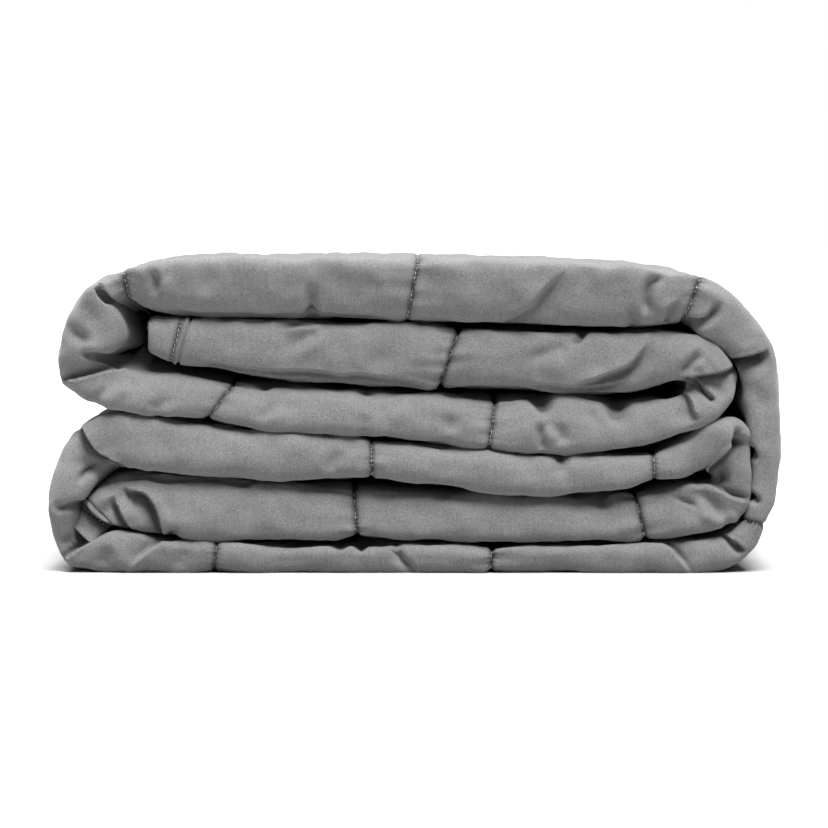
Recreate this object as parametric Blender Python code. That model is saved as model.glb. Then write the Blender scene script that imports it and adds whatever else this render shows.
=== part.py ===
"""Weighted blanket, folded for storage: one quilted cloth, 1524 x 2032 mm flat, as one solid.

The blanket is folded in four across its width, so each layer holds four thicknesses: a fold shows
at the front, and at the back one folded edge and two hems. The long strip that this makes is then
folded back and forth into six layers, from the top A, B, C, D, E and F:

    B (free end) - C - A - right-hand wrap - F - D - E (free end)

Every turn is clockwise in the front view. The strip's outer side faces out of each turn, and its
inner side faces in. X runs to the right along the layers, Y goes back from the front folds, and Z
is up from the surface that the blanket lies on. Sizes are in millimetres until the mesh is made.
"""

import math

import bmesh
import bpy

MM = 0.001

# The folded pile
PILE_DEPTH = 375.0  # a quarter of the blanket's width, drawn in by the quilting
FULL_LAYER = 26.0  # thickness of a layer: four thicknesses of the filled cloth
LAYER_ROUND = 0.5  # how far a fold's nose stands out, as a share of the layer's thickness
NOSE_MOST = 12.0  # and at most
NOSE_POWER = 2.3  # 2 is an ellipse, and more is a squarer nose
NOSE_STEPS = 6
LIP_DROP = 2.2  # the outer side falls away by this towards the front
LIP_REACH = 45.0
INNER_PLACES = (100.0, -60.0)  # Y of the points along a layer's inner side

# Quilting
SEAM_DEPTH = 3.0  # how far a seam draws the filling in
SEAM_SHOULDER = 8.0  # a groove has faded out at this distance from the stitches
MOST_DRAWN = 0.16  # a seam never takes more than this share of the thickness from one side
LONG_SEAMS = (-90.0, 37.0, 160.0)  # Y of the seams that run along the strip, on its outer side

# The back edge
HEM_SETBACK = 5.0  # the hems end this far in front of the folded edge
FOLD_NOTCH = 14.0  # depth of the gap between the folded edge and the hems
HEM_NOTCH = 6.0  # depth of the gap between the two hems
FOLD_STEPS = 4
HEM_STEPS = 3
BACK_WANDER = 2.5  # the back edges are uneven by this much
WANDER_LENGTH = 61.0

# A free end is thinner at its edge, by this share
END_SHRINK = 0.62

# Places along a quilted square that get a section, on the flat and round a turn
TURN_LEAST = 0.6  # radians
PATH_STEPS = 8
STRAIGHT_STEPS = (0.0, 0.07, 0.35, 0.65, 0.93)
TURNING_STEPS = (0.0, 0.07, 0.18, 0.29, 0.4, 0.5, 0.6, 0.71, 0.82, 0.93)

# One row for each section of the strip, from the free end of layer B to the free end of layer E.
# outer and inner are X and Z of the strip's two sides, and recess is how far the fold's nose is set
# back from the front of the pile. Rows whose names start with seam or hem carry a line of stitches.
SECTIONS = (
    # name, outer X, outer Z, inner X, inner Z, recess
    ("end_b", -117.0, 113.0, -117.0, 96.0, 6.0),
    ("hem_b", -99.0, 112.5, -104.0, 94.0, 4.0),
    ("b1", -92.0, 113.0, -91.0, 90.0, 3.5),
    ("b2", -72.0, 113.5, -72.0, 87.0, 3.0),
    ("b3", -46.0, 113.0, -46.0, 84.0, 3.0),
    ("b4", -15.0, 112.0, -18.0, 82.5, 3.0),
    ("seam_b", 20.0, 110.3, 12.0, 82.0, 3.5),
    ("b5", 47.0, 108.5, 47.0, 81.5, 3.0),
    ("b6", 73.0, 107.5, 73.0, 79.5, 3.0),
    ("b7", 95.0, 107.0, 95.0, 80.5, 3.0),
    ("b8", 113.0, 106.5, 110.0, 84.0, 3.0),
    ("b9", 128.0, 102.0, 118.0, 86.0, 3.0),
    ("seam_bc", 141.0, 92.0, 121.0, 85.5, 3.0),
    ("bc1", 141.5, 84.0, 122.0, 83.5, 3.0),
    ("bc2", 139.0, 77.0, 121.5, 81.0, 2.5),
    ("bc3", 133.0, 70.0, 118.0, 78.5, 2.0),
    ("c1", 122.0, 63.5, 107.0, 77.5, 2.0),
    ("c2", 103.0, 57.0, 91.0, 76.8, 2.0),
    ("c3", 81.0, 55.0, 74.0, 77.5, 2.0),
    ("c4", 57.0, 54.0, 57.0, 79.0, 2.0),
    ("seam_c2", 33.5, 55.5, 36.5, 80.0, 2.5),
    ("c5", 7.0, 58.5, 7.0, 80.5, 2.0),
    ("c6", -19.0, 61.5, -19.0, 81.0, 2.0),
    ("c7", -46.0, 63.5, -46.0, 82.5, 2.0),
    ("c8", -70.0, 64.8, -69.0, 85.3, 2.0),
    ("seam_c1", -93.0, 68.0, -81.0, 86.8, 2.0),
    ("c9", -107.0, 69.5, -100.0, 88.8, 1.5),
    ("c10", -120.0, 71.5, -117.0, 91.0, 1.5),
    ("c11", -134.0, 73.0, -127.0, 91.5, 2.0),
    ("ca1", -148.0, 77.5, -132.0, 92.5, 3.0),
    ("ca2", -157.5, 84.0, -134.5, 94.5, 4.0),
    ("ca3", -159.3, 92.0, -134.0, 97.0, 4.0),
    ("ca4", -158.0, 101.5, -130.0, 100.5, 3.0),
    ("ca5", -156.5, 109.5, -127.0, 105.5, 3.0),
    ("ca6", -152.3, 118.3, -127.5, 112.5, 3.0),
    ("ca7", -146.5, 127.0, -129.0, 117.5, 3.0),
    ("ca8", -139.0, 133.0, -128.0, 120.0, 4.0),
    ("seam_a1", -130.0, 135.0, -125.0, 121.5, 4.0),
    ("a1", -117.0, 140.2, -116.0, 118.0, 2.0),
    ("a2", -101.0, 143.0, -101.0, 115.3, 1.0),
    ("a3", -75.0, 143.5, -75.0, 115.0, 0.0),
    ("a4", -37.0, 143.4, -37.0, 114.3, 0.0),
    ("seam_a2", 2.0, 142.8, -3.0, 113.0, 0.5),
    ("a5", 29.0, 142.4, 29.0, 111.3, 0.0),
    ("a6", 64.0, 141.2, 64.0, 109.3, 0.0),
    ("a7", 95.0, 139.2, 94.0, 108.7, 0.0),
    ("a8", 112.0, 136.6, 108.0, 109.0, 1.0),
    ("seam_a3", 127.0, 131.8, 120.0, 108.5, 2.0),
    ("af1", 137.0, 126.7, 128.5, 104.8, 3.0),
    ("af2", 149.5, 115.3, 137.0, 98.3, 5.0),
    ("af3", 159.0, 104.0, 144.0, 91.5, 7.0),
    ("af4", 163.0, 90.5, 144.5, 84.0, 8.0),
    ("af5", 164.3, 77.0, 143.5, 76.0, 8.0),
    ("af6", 164.3, 64.0, 147.0, 65.0, 8.0),
    ("af7", 163.9, 51.0, 149.5, 51.5, 8.0),
    ("af8", 162.3, 37.0, 150.5, 38.5, 7.0),
    ("seam_af", 157.5, 21.0, 146.0, 25.5, 6.0),
    ("af9", 151.8, 10.5, 140.0, 20.5, 5.0),
    ("af10", 144.0, 4.0, 135.0, 18.8, 4.0),
    ("f1", 130.0, 0.8, 127.0, 17.3, 3.0),
    ("f2", 105.0, 0.0, 107.0, 14.8, 2.0),
    ("f3", 80.0, 0.0, 80.0, 14.8, 2.0),
    ("f4", 57.0, 0.0, 57.0, 14.3, 2.0),
    ("seam_f1", 34.5, 0.0, 35.0, 13.6, 2.0),
    ("f5", 7.0, 0.0, 7.0, 15.0, 2.0),
    ("f6", -19.0, 0.0, -19.0, 15.0, 2.0),
    ("f7", -54.0, 0.0, -54.0, 14.0, 2.0),
    ("seam_f2", -90.0, 0.0, -88.5, 15.6, 2.0),
    ("f8", -109.0, 0.0, -108.0, 16.3, 2.0),
    ("f9", -129.0, 0.0, -126.0, 19.0, 2.0),
    ("fd1", -144.5, 0.8, -137.0, 18.5, 3.0),
    ("fd2", -155.0, 3.5, -144.0, 17.0, 4.0),
    ("fd3", -160.8, 11.0, -147.5, 20.0, 4.0),
    ("fd4", -163.3, 20.5, -149.5, 24.0, 4.0),
    ("fd5", -163.9, 30.0, -148.5, 30.5, 3.0),
    ("fd6", -162.6, 39.5, -144.5, 36.0, 3.0),
    ("fd7", -159.8, 47.5, -139.0, 41.5, 3.0),
    ("fd8", -155.8, 56.5, -135.0, 45.5, 3.0),
    ("seam_d0", -147.5, 65.8, -131.0, 47.0, 2.0),
    ("d1", -137.0, 69.3, -126.0, 46.8, 1.0),
    ("d2", -121.0, 70.0, -115.0, 45.5, 0.5),
    ("d3", -98.0, 67.0, -97.0, 43.8, 0.0),
    ("d4", -74.0, 63.6, -74.0, 42.5, 0.0),
    ("d5", -46.0, 62.0, -46.0, 41.5, 0.0),
    ("seam_d1", -19.0, 60.0, -19.0, 42.0, 0.5),
    ("d6", 7.0, 57.0, 7.0, 40.0, 0.0),
    ("d7", 38.0, 53.8, 38.0, 37.8, 0.0),
    ("d8", 64.0, 52.5, 64.0, 36.8, 0.0),
    ("d9", 88.0, 53.3, 88.0, 37.8, 0.0),
    ("seam_d2", 106.0, 56.0, 107.0, 40.8, 0.5),
    ("d10", 121.0, 61.0, 122.0, 43.0, 0.5),
    ("d11", 133.0, 67.0, 130.5, 46.5, 1.0),
    ("de1", 142.0, 66.5, 134.0, 46.0, 2.0),
    ("de2", 146.0, 60.5, 135.0, 43.5, 3.0),
    ("de3", 148.0, 48.5, 134.5, 41.5, 3.0),
    ("de4", 148.5, 36.0, 130.0, 40.0, 3.0),
    ("de5", 142.5, 25.5, 121.0, 40.8, 3.0),
    ("e1", 130.0, 19.8, 111.0, 39.3, 3.0),
    ("seam_e1", 102.0, 16.5, 98.5, 37.6, 4.0),
    ("e2", 80.0, 16.2, 77.0, 35.8, 4.0),
    ("e3", 55.0, 15.7, 55.0, 35.6, 4.0),
    ("e4", 29.0, 15.3, 29.0, 36.9, 4.0),
    ("e5", 3.0, 16.4, 3.0, 38.9, 4.0),
    ("seam_e2", -25.5, 16.4, -27.0, 40.4, 4.0),
    ("e6", -50.0, 15.6, -50.0, 40.0, 3.5),
    ("e7", -77.0, 16.5, -77.0, 41.2, 3.0),
    ("e8", -98.0, 17.6, -98.0, 42.4, 3.0),
    ("e9", -114.0, 18.8, -116.0, 43.8, 3.0),
    ("e10", -127.0, 22.0, -128.0, 42.0, 4.0),
    ("hem_e", -135.0, 22.0, -144.0, 33.0, 5.0),
    ("end_e", -140.0, 21.5, -146.0, 28.0, 6.0),
)

SEAMS = [number for number, row in enumerate(SECTIONS) if row[0].startswith(("seam", "hem"))]


def spline_value(table, number, share):
    """Catmull-Rom value between row `number` and the next one, `share` of the way along."""
    before = table[max(number - 1, 0)]
    start = table[number]
    finish = table[min(number + 1, len(table) - 1)]
    after = table[min(number + 2, len(table) - 1)]
    values = []
    for p0, p1, p2, p3 in zip(before, start, finish, after):
        tangent_1 = 0.5 * (p2 - p0)
        tangent_2 = 0.5 * (p3 - p1)
        square, cube = share * share, share * share * share
        values.append(
            (2 * cube - 3 * square + 1) * p1
            + (cube - 2 * square + share) * tangent_1
            + (3 * square - 2 * cube) * p2
            + (cube - square) * tangent_2
        )
    return values


def middle(section):
    """X and Z half-way between a section's two sides."""
    return (0.5 * (section[0] + section[2]), 0.5 * (section[1] + section[3]))


def path_lengths(table):
    """Distance along the strip's middle at every row."""
    lengths = [0.0]
    for number in range(len(table) - 1):
        length = 0.0
        last = middle(table[number])
        for step in range(1, PATH_STEPS + 1):
            here = middle(spline_value(table, number, step / PATH_STEPS))
            length += math.dist(last, here)
            last = here
        lengths.append(lengths[-1] + length)
    return lengths


def section_at(table, lengths, distance):
    """The strip's two sides and recess at a distance along its middle."""
    distance = min(max(distance, 0.0), lengths[-1])
    number = 0
    while number < len(table) - 2 and lengths[number + 1] < distance:
        number += 1
    span = lengths[number + 1] - lengths[number]
    return spline_value(table, number, (distance - lengths[number]) / span)


def stations(lengths):
    """Distances at which the strip gets a section, and each one's nearest seam distance."""
    seams = [lengths[number] for number in SEAMS]
    places = [0.0]
    for first, start, finish in zip(SEAMS, seams, seams[1:]):
        turning = turns_between(first, SEAMS[SEAMS.index(first) + 1])
        for share in TURNING_STEPS if turning else STRAIGHT_STEPS:
            places.append(start + share * (finish - start))
    places.extend([seams[-1], lengths[-1]])
    return [(place, min(abs(place - seam) for seam in seams)) for place in places]


def turns_between(first, last):
    """True where the strip turns back on itself between two seams."""
    headings = []
    for number in range(first, last):
        x0, z0 = middle(SECTIONS[number][1:])
        x1, z1 = middle(SECTIONS[number + 1][1:])
        headings.append(math.atan2(z1 - z0, x1 - x0))
    most = 0.0
    for heading in headings:
        change = (heading - headings[0] + math.pi) % (2 * math.pi) - math.pi
        most = max(most, abs(change))
    return most > TURN_LEAST


def groove(distance):
    """How far the stitches draw the cloth in, at a distance from a seam."""
    return SEAM_DEPTH * max(1.0 - distance / SEAM_SHOULDER, 0.0) ** 2


def round_edge(centre, radius, back, steps):
    """Half a circle in (across, back) pairs that closes an edge at the back of the pile."""
    points = []
    for step in range(steps + 1):
        turn = math.pi * (0.5 - step / steps)
        points.append((centre + radius * math.sin(turn), back - radius + radius * math.cos(turn)))
    return points


def profile(thickness, recess, seam_distance, wander):
    """Closed outline of one section as (across, back) pairs.

    `across` runs from the strip's inner side to its outer side, with 0 in the middle.
    """
    half = 0.5 * thickness
    drawn = min(groove(seam_distance), MOST_DRAWN * thickness)
    side = half - drawn
    drop = LIP_DROP * min(thickness / FULL_LAYER, 1.0)
    front = -0.5 * PILE_DEPTH + recess + drawn
    back = 0.5 * PILE_DEPTH + wander
    nose = min(LAYER_ROUND * thickness, NOSE_MOST)
    lip = front + nose
    outline = []

    # the nose, from the inner side round to the outer side
    for step in range(NOSE_STEPS + 1):
        turn = math.pi * (step / NOSE_STEPS - 0.5)
        across = math.copysign(abs(math.sin(turn)) ** (2.0 / NOSE_POWER), turn)
        out = max(math.cos(turn), 0.0) ** (2.0 / NOSE_POWER)
        reach = side - drop if across > 0 else side
        outline.append((across * reach, front + nose * (1.0 - out)))

    # the outer side, with the quilting that runs along the strip
    outline.append((side, lip + LIP_REACH))
    for seam in LONG_SEAMS:
        for offset in (-SEAM_SHOULDER, 0.0, SEAM_SHOULDER):
            dip = max(groove(abs(offset)) - drawn, 0.0)
            outline.append((side - min(dip, MOST_DRAWN * thickness), seam + offset))

    # the back edges: one fold, and two hems
    fold = 0.5 * side
    hem = 0.25 * side
    hem_back = back - HEM_SETBACK
    outline.extend(round_edge(fold, fold, back, FOLD_STEPS)[:-1])
    outline.append((0.0, back - FOLD_NOTCH))
    outline.extend(round_edge(-hem, hem, hem_back, HEM_STEPS)[:-1])
    outline.append((-2.0 * hem, hem_back - HEM_NOTCH))
    outline.extend(round_edge(-3.0 * hem, hem, hem_back, HEM_STEPS)[1:])

    # the inner side, back to the front
    for place in INNER_PLACES:
        outline.append((-side, place))
    return outline


def build_points():
    """Every section's outline in X, Y and Z."""
    table = [row[1:] for row in SECTIONS]
    lengths = path_lengths(table)
    rings = []
    places = stations(lengths)
    for order, (place, seam_distance) in enumerate(places):
        outer_x, outer_z, inner_x, inner_z, recess = section_at(table, lengths, place)
        centre = (0.5 * (outer_x + inner_x), 0.5 * (outer_z + inner_z))
        thickness = math.dist((outer_x, outer_z), (inner_x, inner_z))
        toward = ((outer_x - inner_x) / thickness, (outer_z - inner_z) / thickness)
        wander = BACK_WANDER * math.sin(place / WANDER_LENGTH) - BACK_WANDER
        outline = profile(thickness, recess, seam_distance, wander)
        shrink = END_SHRINK if order in (0, len(places) - 1) else 1.0
        ring = []
        for across, back in outline:
            across *= shrink
            z = centre[1] + toward[1] * across
            ring.append((centre[0] + toward[0] * across, back, max(z, 0.0)))
        rings.append(ring)
    return rings


def build_mesh():
    """One closed mesh for the whole cloth."""
    mesh = bpy.data.meshes.new("blanket")
    bm = bmesh.new()
    rings = build_points()
    size = len(rings[0])
    rows = [[bm.verts.new([value * MM for value in point]) for point in ring] for ring in rings]
    for this, following in zip(rows, rows[1:]):
        for number in range(size):
            after = (number + 1) % size
            bm.faces.new((this[number], this[after], following[after], following[number]))
    bm.faces.new(list(reversed(rows[0])))
    bm.faces.new(rows[-1])
    bmesh.ops.triangulate(bm, faces=bm.faces[:], quad_method="BEAUTY", ngon_method="EAR_CLIP")
    bmesh.ops.recalc_face_normals(bm, faces=bm.faces[:])
    bm.to_mesh(mesh)
    bm.free()
    return mesh


def cloth_material():
    """Plain woven cotton."""
    material = bpy.data.materials.new("grey_cotton")
    material.use_nodes = True
    shader = material.node_tree.nodes["Principled BSDF"]
    shader.inputs["Base Color"].default_value = (0.32, 0.32, 0.33, 1.0)
    shader.inputs["Roughness"].default_value = 0.9
    return material


def main():
    for thing in list(bpy.data.objects):
        bpy.data.objects.remove(thing, do_unlink=True)
    collection = bpy.data.collections.new("weighted_blanket")
    bpy.context.scene.collection.children.link(collection)
    blanket = bpy.data.objects.new("blanket", build_mesh())
    blanket.data.materials.append(cloth_material())
    collection.objects.link(blanket)


main()
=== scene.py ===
"""Grey quilted weighted blanket, folded in a pile: finished cloth, seams, stitches and studio.

The blanket is folded in four across its width and then back and forth into six layers. Named from
the top of the pile they are A, B, C, D, E and F, and the strip that they make runs

    B (free end) - C - A - right-hand wrap - F - D - E (free end)

with every turn clockwise in the front view. A turn is named after the two layers that it joins, so
AF is the right-hand wrap. The strip's outer side faces out of each turn, and its inner side faces
in. X runs to the right along the layers, Y goes back from the long folds, and Z is up.

The cloth is worked out in millimetres. The finished meshes, the finishes and the studio are in
metres.
"""

from __future__ import annotations

import logging
import math
from dataclasses import dataclass, field
from enum import Enum
from typing import NamedTuple

import bpy
import numpy as np
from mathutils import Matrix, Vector


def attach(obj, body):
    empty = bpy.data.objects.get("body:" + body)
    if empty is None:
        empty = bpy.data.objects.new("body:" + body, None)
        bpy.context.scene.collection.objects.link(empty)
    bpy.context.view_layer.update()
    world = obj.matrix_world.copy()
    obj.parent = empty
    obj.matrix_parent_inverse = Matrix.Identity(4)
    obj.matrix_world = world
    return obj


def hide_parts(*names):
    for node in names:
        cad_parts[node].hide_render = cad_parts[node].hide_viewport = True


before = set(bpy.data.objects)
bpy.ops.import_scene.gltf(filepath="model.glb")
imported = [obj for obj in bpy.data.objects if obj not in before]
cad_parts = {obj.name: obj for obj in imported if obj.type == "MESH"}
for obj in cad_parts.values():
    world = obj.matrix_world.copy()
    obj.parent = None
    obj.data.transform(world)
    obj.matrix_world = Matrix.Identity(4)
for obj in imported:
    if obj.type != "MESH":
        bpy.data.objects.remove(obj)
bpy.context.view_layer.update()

LOG = logging.getLogger("blanket")
MM = 0.001
NODE = "blanket"

STITCH_PITCH = 2.3
TINY = 1e-9  # keeps a division safe
FAR = 1e9  # further than anything in the pile

Array = np.ndarray


# ----- The strip: where its two sides run in the front view -----

# Rows whose names start with seam or hem carry a line of stitches across the strip.
SECTIONS: tuple[tuple[str, float, float, float, float, float], ...] = (
    # name, outer X, outer Z, inner X, inner Z, recess of the fold's nose
    ("end_b", -120.0, 110.8, -119.4, 99.6, 5.0),
    ("b0", -116.6, 113.6, -114.8, 97.0, 4.5),
    ("hem_b", -101.5, 114.0, -107.4, 94.6, 4.0),
    ("b1", -92.0, 113.6, -93.0, 91.4, 3.5),
    ("b2", -72.0, 113.6, -72.0, 88.0, 3.0),
    ("b3", -46.0, 113.0, -46.0, 85.2, 3.0),
    ("b4", -15.0, 112.0, -18.0, 83.8, 3.0),
    ("seam_b", 20.0, 110.5, 12.0, 82.8, 3.5),
    ("b5", 47.0, 109.0, 47.0, 82.5, 3.0),
    ("b6", 73.0, 108.3, 73.0, 80.2, 3.0),
    ("b7", 95.0, 108.0, 95.0, 81.6, 3.0),
    ("b8", 113.0, 107.8, 110.0, 85.0, 3.0),
    ("b9", 129.0, 104.8, 118.0, 87.0, 3.0),
    ("seam_bc", 143.6, 92.2, 122.2, 85.4, 3.0),
    ("bc1", 144.6, 84.5, 123.0, 83.6, 3.0),
    ("bc2", 142.8, 76.5, 122.5, 81.0, 2.5),
    ("bc3", 135.0, 68.4, 118.0, 78.0, 2.0),
    ("c1", 122.0, 62.4, 107.0, 77.4, 2.0),
    ("c2", 103.0, 56.4, 91.0, 75.4, 2.0),
    ("c3", 81.0, 54.6, 74.0, 79.2, 2.0),
    ("c4", 57.0, 53.8, 57.0, 78.6, 2.0),
    ("seam_c2", 33.5, 55.5, 36.5, 79.0, 2.5),
    ("c5", 7.0, 58.5, 7.0, 79.4, 2.0),
    ("c6", -19.0, 61.5, -19.0, 81.4, 2.0),
    ("c7", -46.0, 63.5, -46.0, 83.2, 2.0),
    ("c8", -70.0, 64.8, -69.0, 84.2, 2.0),
    ("seam_c1", -93.0, 68.0, -81.0, 86.2, 2.0),
    ("c9", -107.0, 69.6, -100.0, 88.8, 1.5),
    ("c10", -120.0, 71.0, -117.0, 91.0, 1.5),
    ("c11", -134.0, 73.6, -127.0, 92.0, 2.0),
    ("ca1", -148.5, 78.5, -132.0, 92.5, 3.0),
    ("ca2", -158.2, 84.5, -134.5, 94.5, 4.0),
    ("ca3", -160.0, 92.5, -134.0, 97.0, 4.0),
    ("ca4", -159.2, 101.5, -130.0, 100.5, 3.0),
    ("ca5", -157.9, 109.5, -127.0, 105.5, 3.0),
    ("ca6", -153.8, 118.6, -127.5, 112.5, 3.0),
    ("ca7", -147.8, 127.3, -129.0, 117.5, 3.0),
    ("ca8", -140.0, 133.4, -128.0, 120.0, 4.0),
    ("seam_a1", -130.6, 135.6, -125.0, 121.5, 4.0),
    ("a1", -117.0, 139.4, -116.0, 118.2, 2.0),
    ("a2", -101.0, 141.4, -101.0, 115.3, 1.0),
    ("a3", -75.0, 141.2, -75.0, 114.9, 0.0),
    ("a4", -37.0, 141.8, -37.0, 114.2, 0.0),
    ("seam_a2", 2.0, 141.4, -3.0, 113.6, 0.5),
    ("a5", 29.0, 140.9, 29.0, 112.6, 0.0),
    ("a6", 64.0, 140.0, 64.0, 110.8, 0.0),
    ("a7", 95.0, 138.4, 94.0, 110.4, 0.0),
    ("a8", 113.0, 136.5, 109.0, 111.4, 1.0),
    ("seam_a3", 128.0, 132.4, 120.5, 111.5, 3.0),
    ("af1", 138.5, 127.0, 129.5, 107.4, 4.5),
    ("af2", 151.0, 116.0, 139.5, 100.6, 6.5),
    ("af3", 160.6, 104.0, 146.5, 93.0, 8.0),
    ("af4", 164.6, 90.5, 148.0, 85.0, 8.0),
    ("af5", 165.4, 77.0, 147.5, 76.5, 8.0),
    ("af6", 165.0, 64.0, 150.5, 65.5, 8.0),
    ("af7", 165.0, 51.0, 152.5, 51.5, 8.0),
    ("af8", 164.0, 37.0, 153.5, 38.0, 7.0),
    ("seam_af", 158.6, 21.0, 148.6, 23.8, 6.0),
    ("af9", 152.8, 10.5, 142.0, 18.8, 5.0),
    ("af10", 145.5, 3.6, 136.0, 16.6, 4.0),
    ("f1", 130.0, 0.2, 127.0, 15.0, 3.0),
    ("f2", 105.0, -0.6, 107.0, 12.8, 2.0),
    ("f3", 80.0, -0.8, 80.0, 12.8, 2.0),
    ("f4", 57.0, -0.8, 57.0, 12.4, 2.0),
    ("seam_f1", 34.5, -0.8, 35.0, 12.0, 2.0),
    ("f5", 7.0, -0.8, 7.0, 13.0, 2.0),
    ("f6", -19.0, -0.8, -19.0, 13.0, 2.0),
    ("f7", -54.0, -0.8, -54.0, 12.2, 2.0),
    ("seam_f2", -90.0, -0.8, -88.5, 13.8, 2.0),
    ("f8", -109.0, -0.8, -108.0, 14.2, 2.0),
    ("f9", -129.0, -0.6, -126.0, 18.2, 2.0),
    ("fd1", -145.0, 0.4, -137.0, 18.5, 3.0),
    ("fd2", -156.0, 3.0, -144.0, 17.0, 4.0),
    ("fd3", -161.2, 10.5, -147.5, 20.0, 4.0),
    ("fd4", -163.6, 20.5, -149.5, 24.0, 4.0),
    ("fd5", -164.2, 30.0, -148.5, 30.5, 3.0),
    ("fd6", -163.0, 39.5, -144.5, 36.0, 3.0),
    ("fd7", -160.4, 47.5, -139.0, 41.5, 3.0),
    ("fd8", -157.0, 56.5, -135.0, 45.5, 3.0),
    ("seam_d0", -151.2, 63.4, -132.6, 46.4, 2.5),
    ("d1", -137.0, 72.0, -126.0, 46.8, 1.0),
    ("d2", -121.0, 70.6, -115.0, 45.5, 0.5),
    ("d3", -98.0, 67.6, -97.0, 43.8, 0.0),
    ("d4", -74.0, 63.8, -74.0, 42.6, 0.0),
    ("d5", -46.0, 62.0, -46.0, 41.6, 0.0),
    ("seam_d1", -19.0, 60.0, -19.0, 41.8, 0.5),
    ("d6", 7.0, 57.0, 7.0, 39.2, 0.0),
    ("d7", 38.0, 53.6, 38.0, 36.7, 0.0),
    ("d8", 64.0, 52.2, 64.0, 35.3, 0.0),
    ("d9", 88.0, 52.8, 88.0, 36.2, 0.0),
    ("seam_d2", 107.0, 55.0, 108.0, 40.8, 0.5),
    ("d10", 121.0, 60.6, 122.0, 42.0, 0.5),
    ("d11", 134.0, 67.8, 131.5, 46.0, 1.0),
    ("de1", 144.6, 69.2, 134.5, 46.5, 2.0),
    ("de2", 150.2, 63.0, 136.0, 44.0, 3.0),
    ("de3", 150.6, 49.5, 135.5, 41.5, 3.0),
    ("de4", 151.2, 36.0, 131.0, 40.0, 3.0),
    ("de5", 147.6, 26.6, 122.0, 40.4, 3.0),
    ("e1", 134.0, 18.2, 112.0, 38.6, 3.0),
    ("seam_e1", 103.8, 14.0, 99.6, 36.4, 4.0),
    ("e2", 80.0, 13.7, 77.0, 34.0, 4.0),
    ("e3", 55.0, 13.4, 55.0, 33.6, 4.0),
    ("e4", 29.0, 13.4, 29.0, 34.8, 4.0),
    ("e5", 3.0, 14.0, 3.0, 36.6, 4.0),
    ("seam_e2", -25.5, 14.0, -27.0, 38.6, 4.0),
    ("e6", -50.0, 13.6, -50.0, 39.4, 3.5),
    ("e7", -77.0, 14.4, -77.0, 41.0, 3.0),
    ("e8", -98.0, 15.6, -98.0, 42.4, 3.0),
    ("e9", -114.0, 16.2, -116.0, 44.0, 3.0),
    ("e10", -126.0, 18.6, -130.0, 44.0, 4.0),
    ("e11", -132.5, 19.4, -141.2, 39.4, 4.5),
    ("hem_e", -136.0, 20.6, -148.9, 31.4, 6.0),
    ("end_e", -144.2, 10.8, -154.0, 19.8, 6.5),
)

# Where the front of the fold is pinched, its inner side differs from the cloth behind it.
FRONT_PINCHES: dict[str, tuple[float, float]] = {
    # name: (inner X, inner Z) at the nose
    "ca1": (-131.5, 92.2),
    "ca2": (-135.8, 94.6),
    "ca3": (-139.5, 97.2),
    "ca4": (-130.4, 103.2),
    "ca5": (-129.6, 109.6),
    "ca6": (-132.6, 117.0),
    "ca7": (-140.0, 126.0),
    "ca8": (-134.5, 122.5),
    "seam_a1": (-128.6, 123.6),
    "a1": (-117.5, 119.0),
    "a8": (109.5, 111.6),
    "seam_a3": (120.6, 113.2),
    "af1": (128.2, 108.2),
    "af2": (138.4, 101.4),
    "af3": (145.0, 94.8),
    "af6": (150.0, 65.0),
    "af7": (151.3, 51.5),
    "af8": (152.0, 38.0),
    "fd2": (-149.0, 14.6),
    "fd3": (-152.6, 18.6),
    "fd4": (-152.6, 24.6),
    "fd5": (-151.6, 30.4),
    "fd6": (-145.6, 36.0),
    "fd7": (-140.6, 42.6),
    "fd8": (-136.6, 47.2),
    "de1": (131.0, 45.6),
    "de2": (132.5, 43.4),
    "de3": (132.5, 41.6),
    "de4": (128.5, 40.8),
}

# How far the outer lip of each layer lies behind its inner lip, halved.
LEANS: dict[str, float] = {
    "b": 0.2, "bc": 0.0, "c": -3.1, "ca": 0.0, "a": -3.0, "af": 0.0,
    "f": 1.0, "fd": 0.0, "d": 0.9, "de": 0.5, "e": -2.9,
}


class Form(Enum):
    """How a crease shapes the cloth."""

    TROUGH = "a soft valley"
    RIDGE = "a soft crest"
    FOLD = "a lip that falls away on the right of its path"
    LEDGE = "an edge that overlaps, with the cloth on the right of its path set back"


TROUGH, RIDGE, FOLD, LEDGE = Form


@dataclass(frozen=True)
class Crease:
    """One crease, drawn on the front of the pile.

    `path` holds X and Z of the points that it runs through. `ends` is the share of the path over
    which it fades in and out, and `reach` is how far back over the layer it can still be felt.
    """

    name: str
    form: Form
    depth: float
    width: float
    path: tuple[tuple[float, float], ...]
    ends: tuple[float, float] = (0.4, 0.4)
    reach: float = 15.0

    @property
    def sharp(self) -> bool:
        """Whether the cloth folds over, and doesn't only swell or sink."""
        return self.form in (FOLD, LEDGE)


class Layer(NamedTuple):
    """A layer or a turn of the strip: the first and last row that its creases touch, and these."""

    first: str
    last: str
    creases: tuple[Crease, ...]


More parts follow.
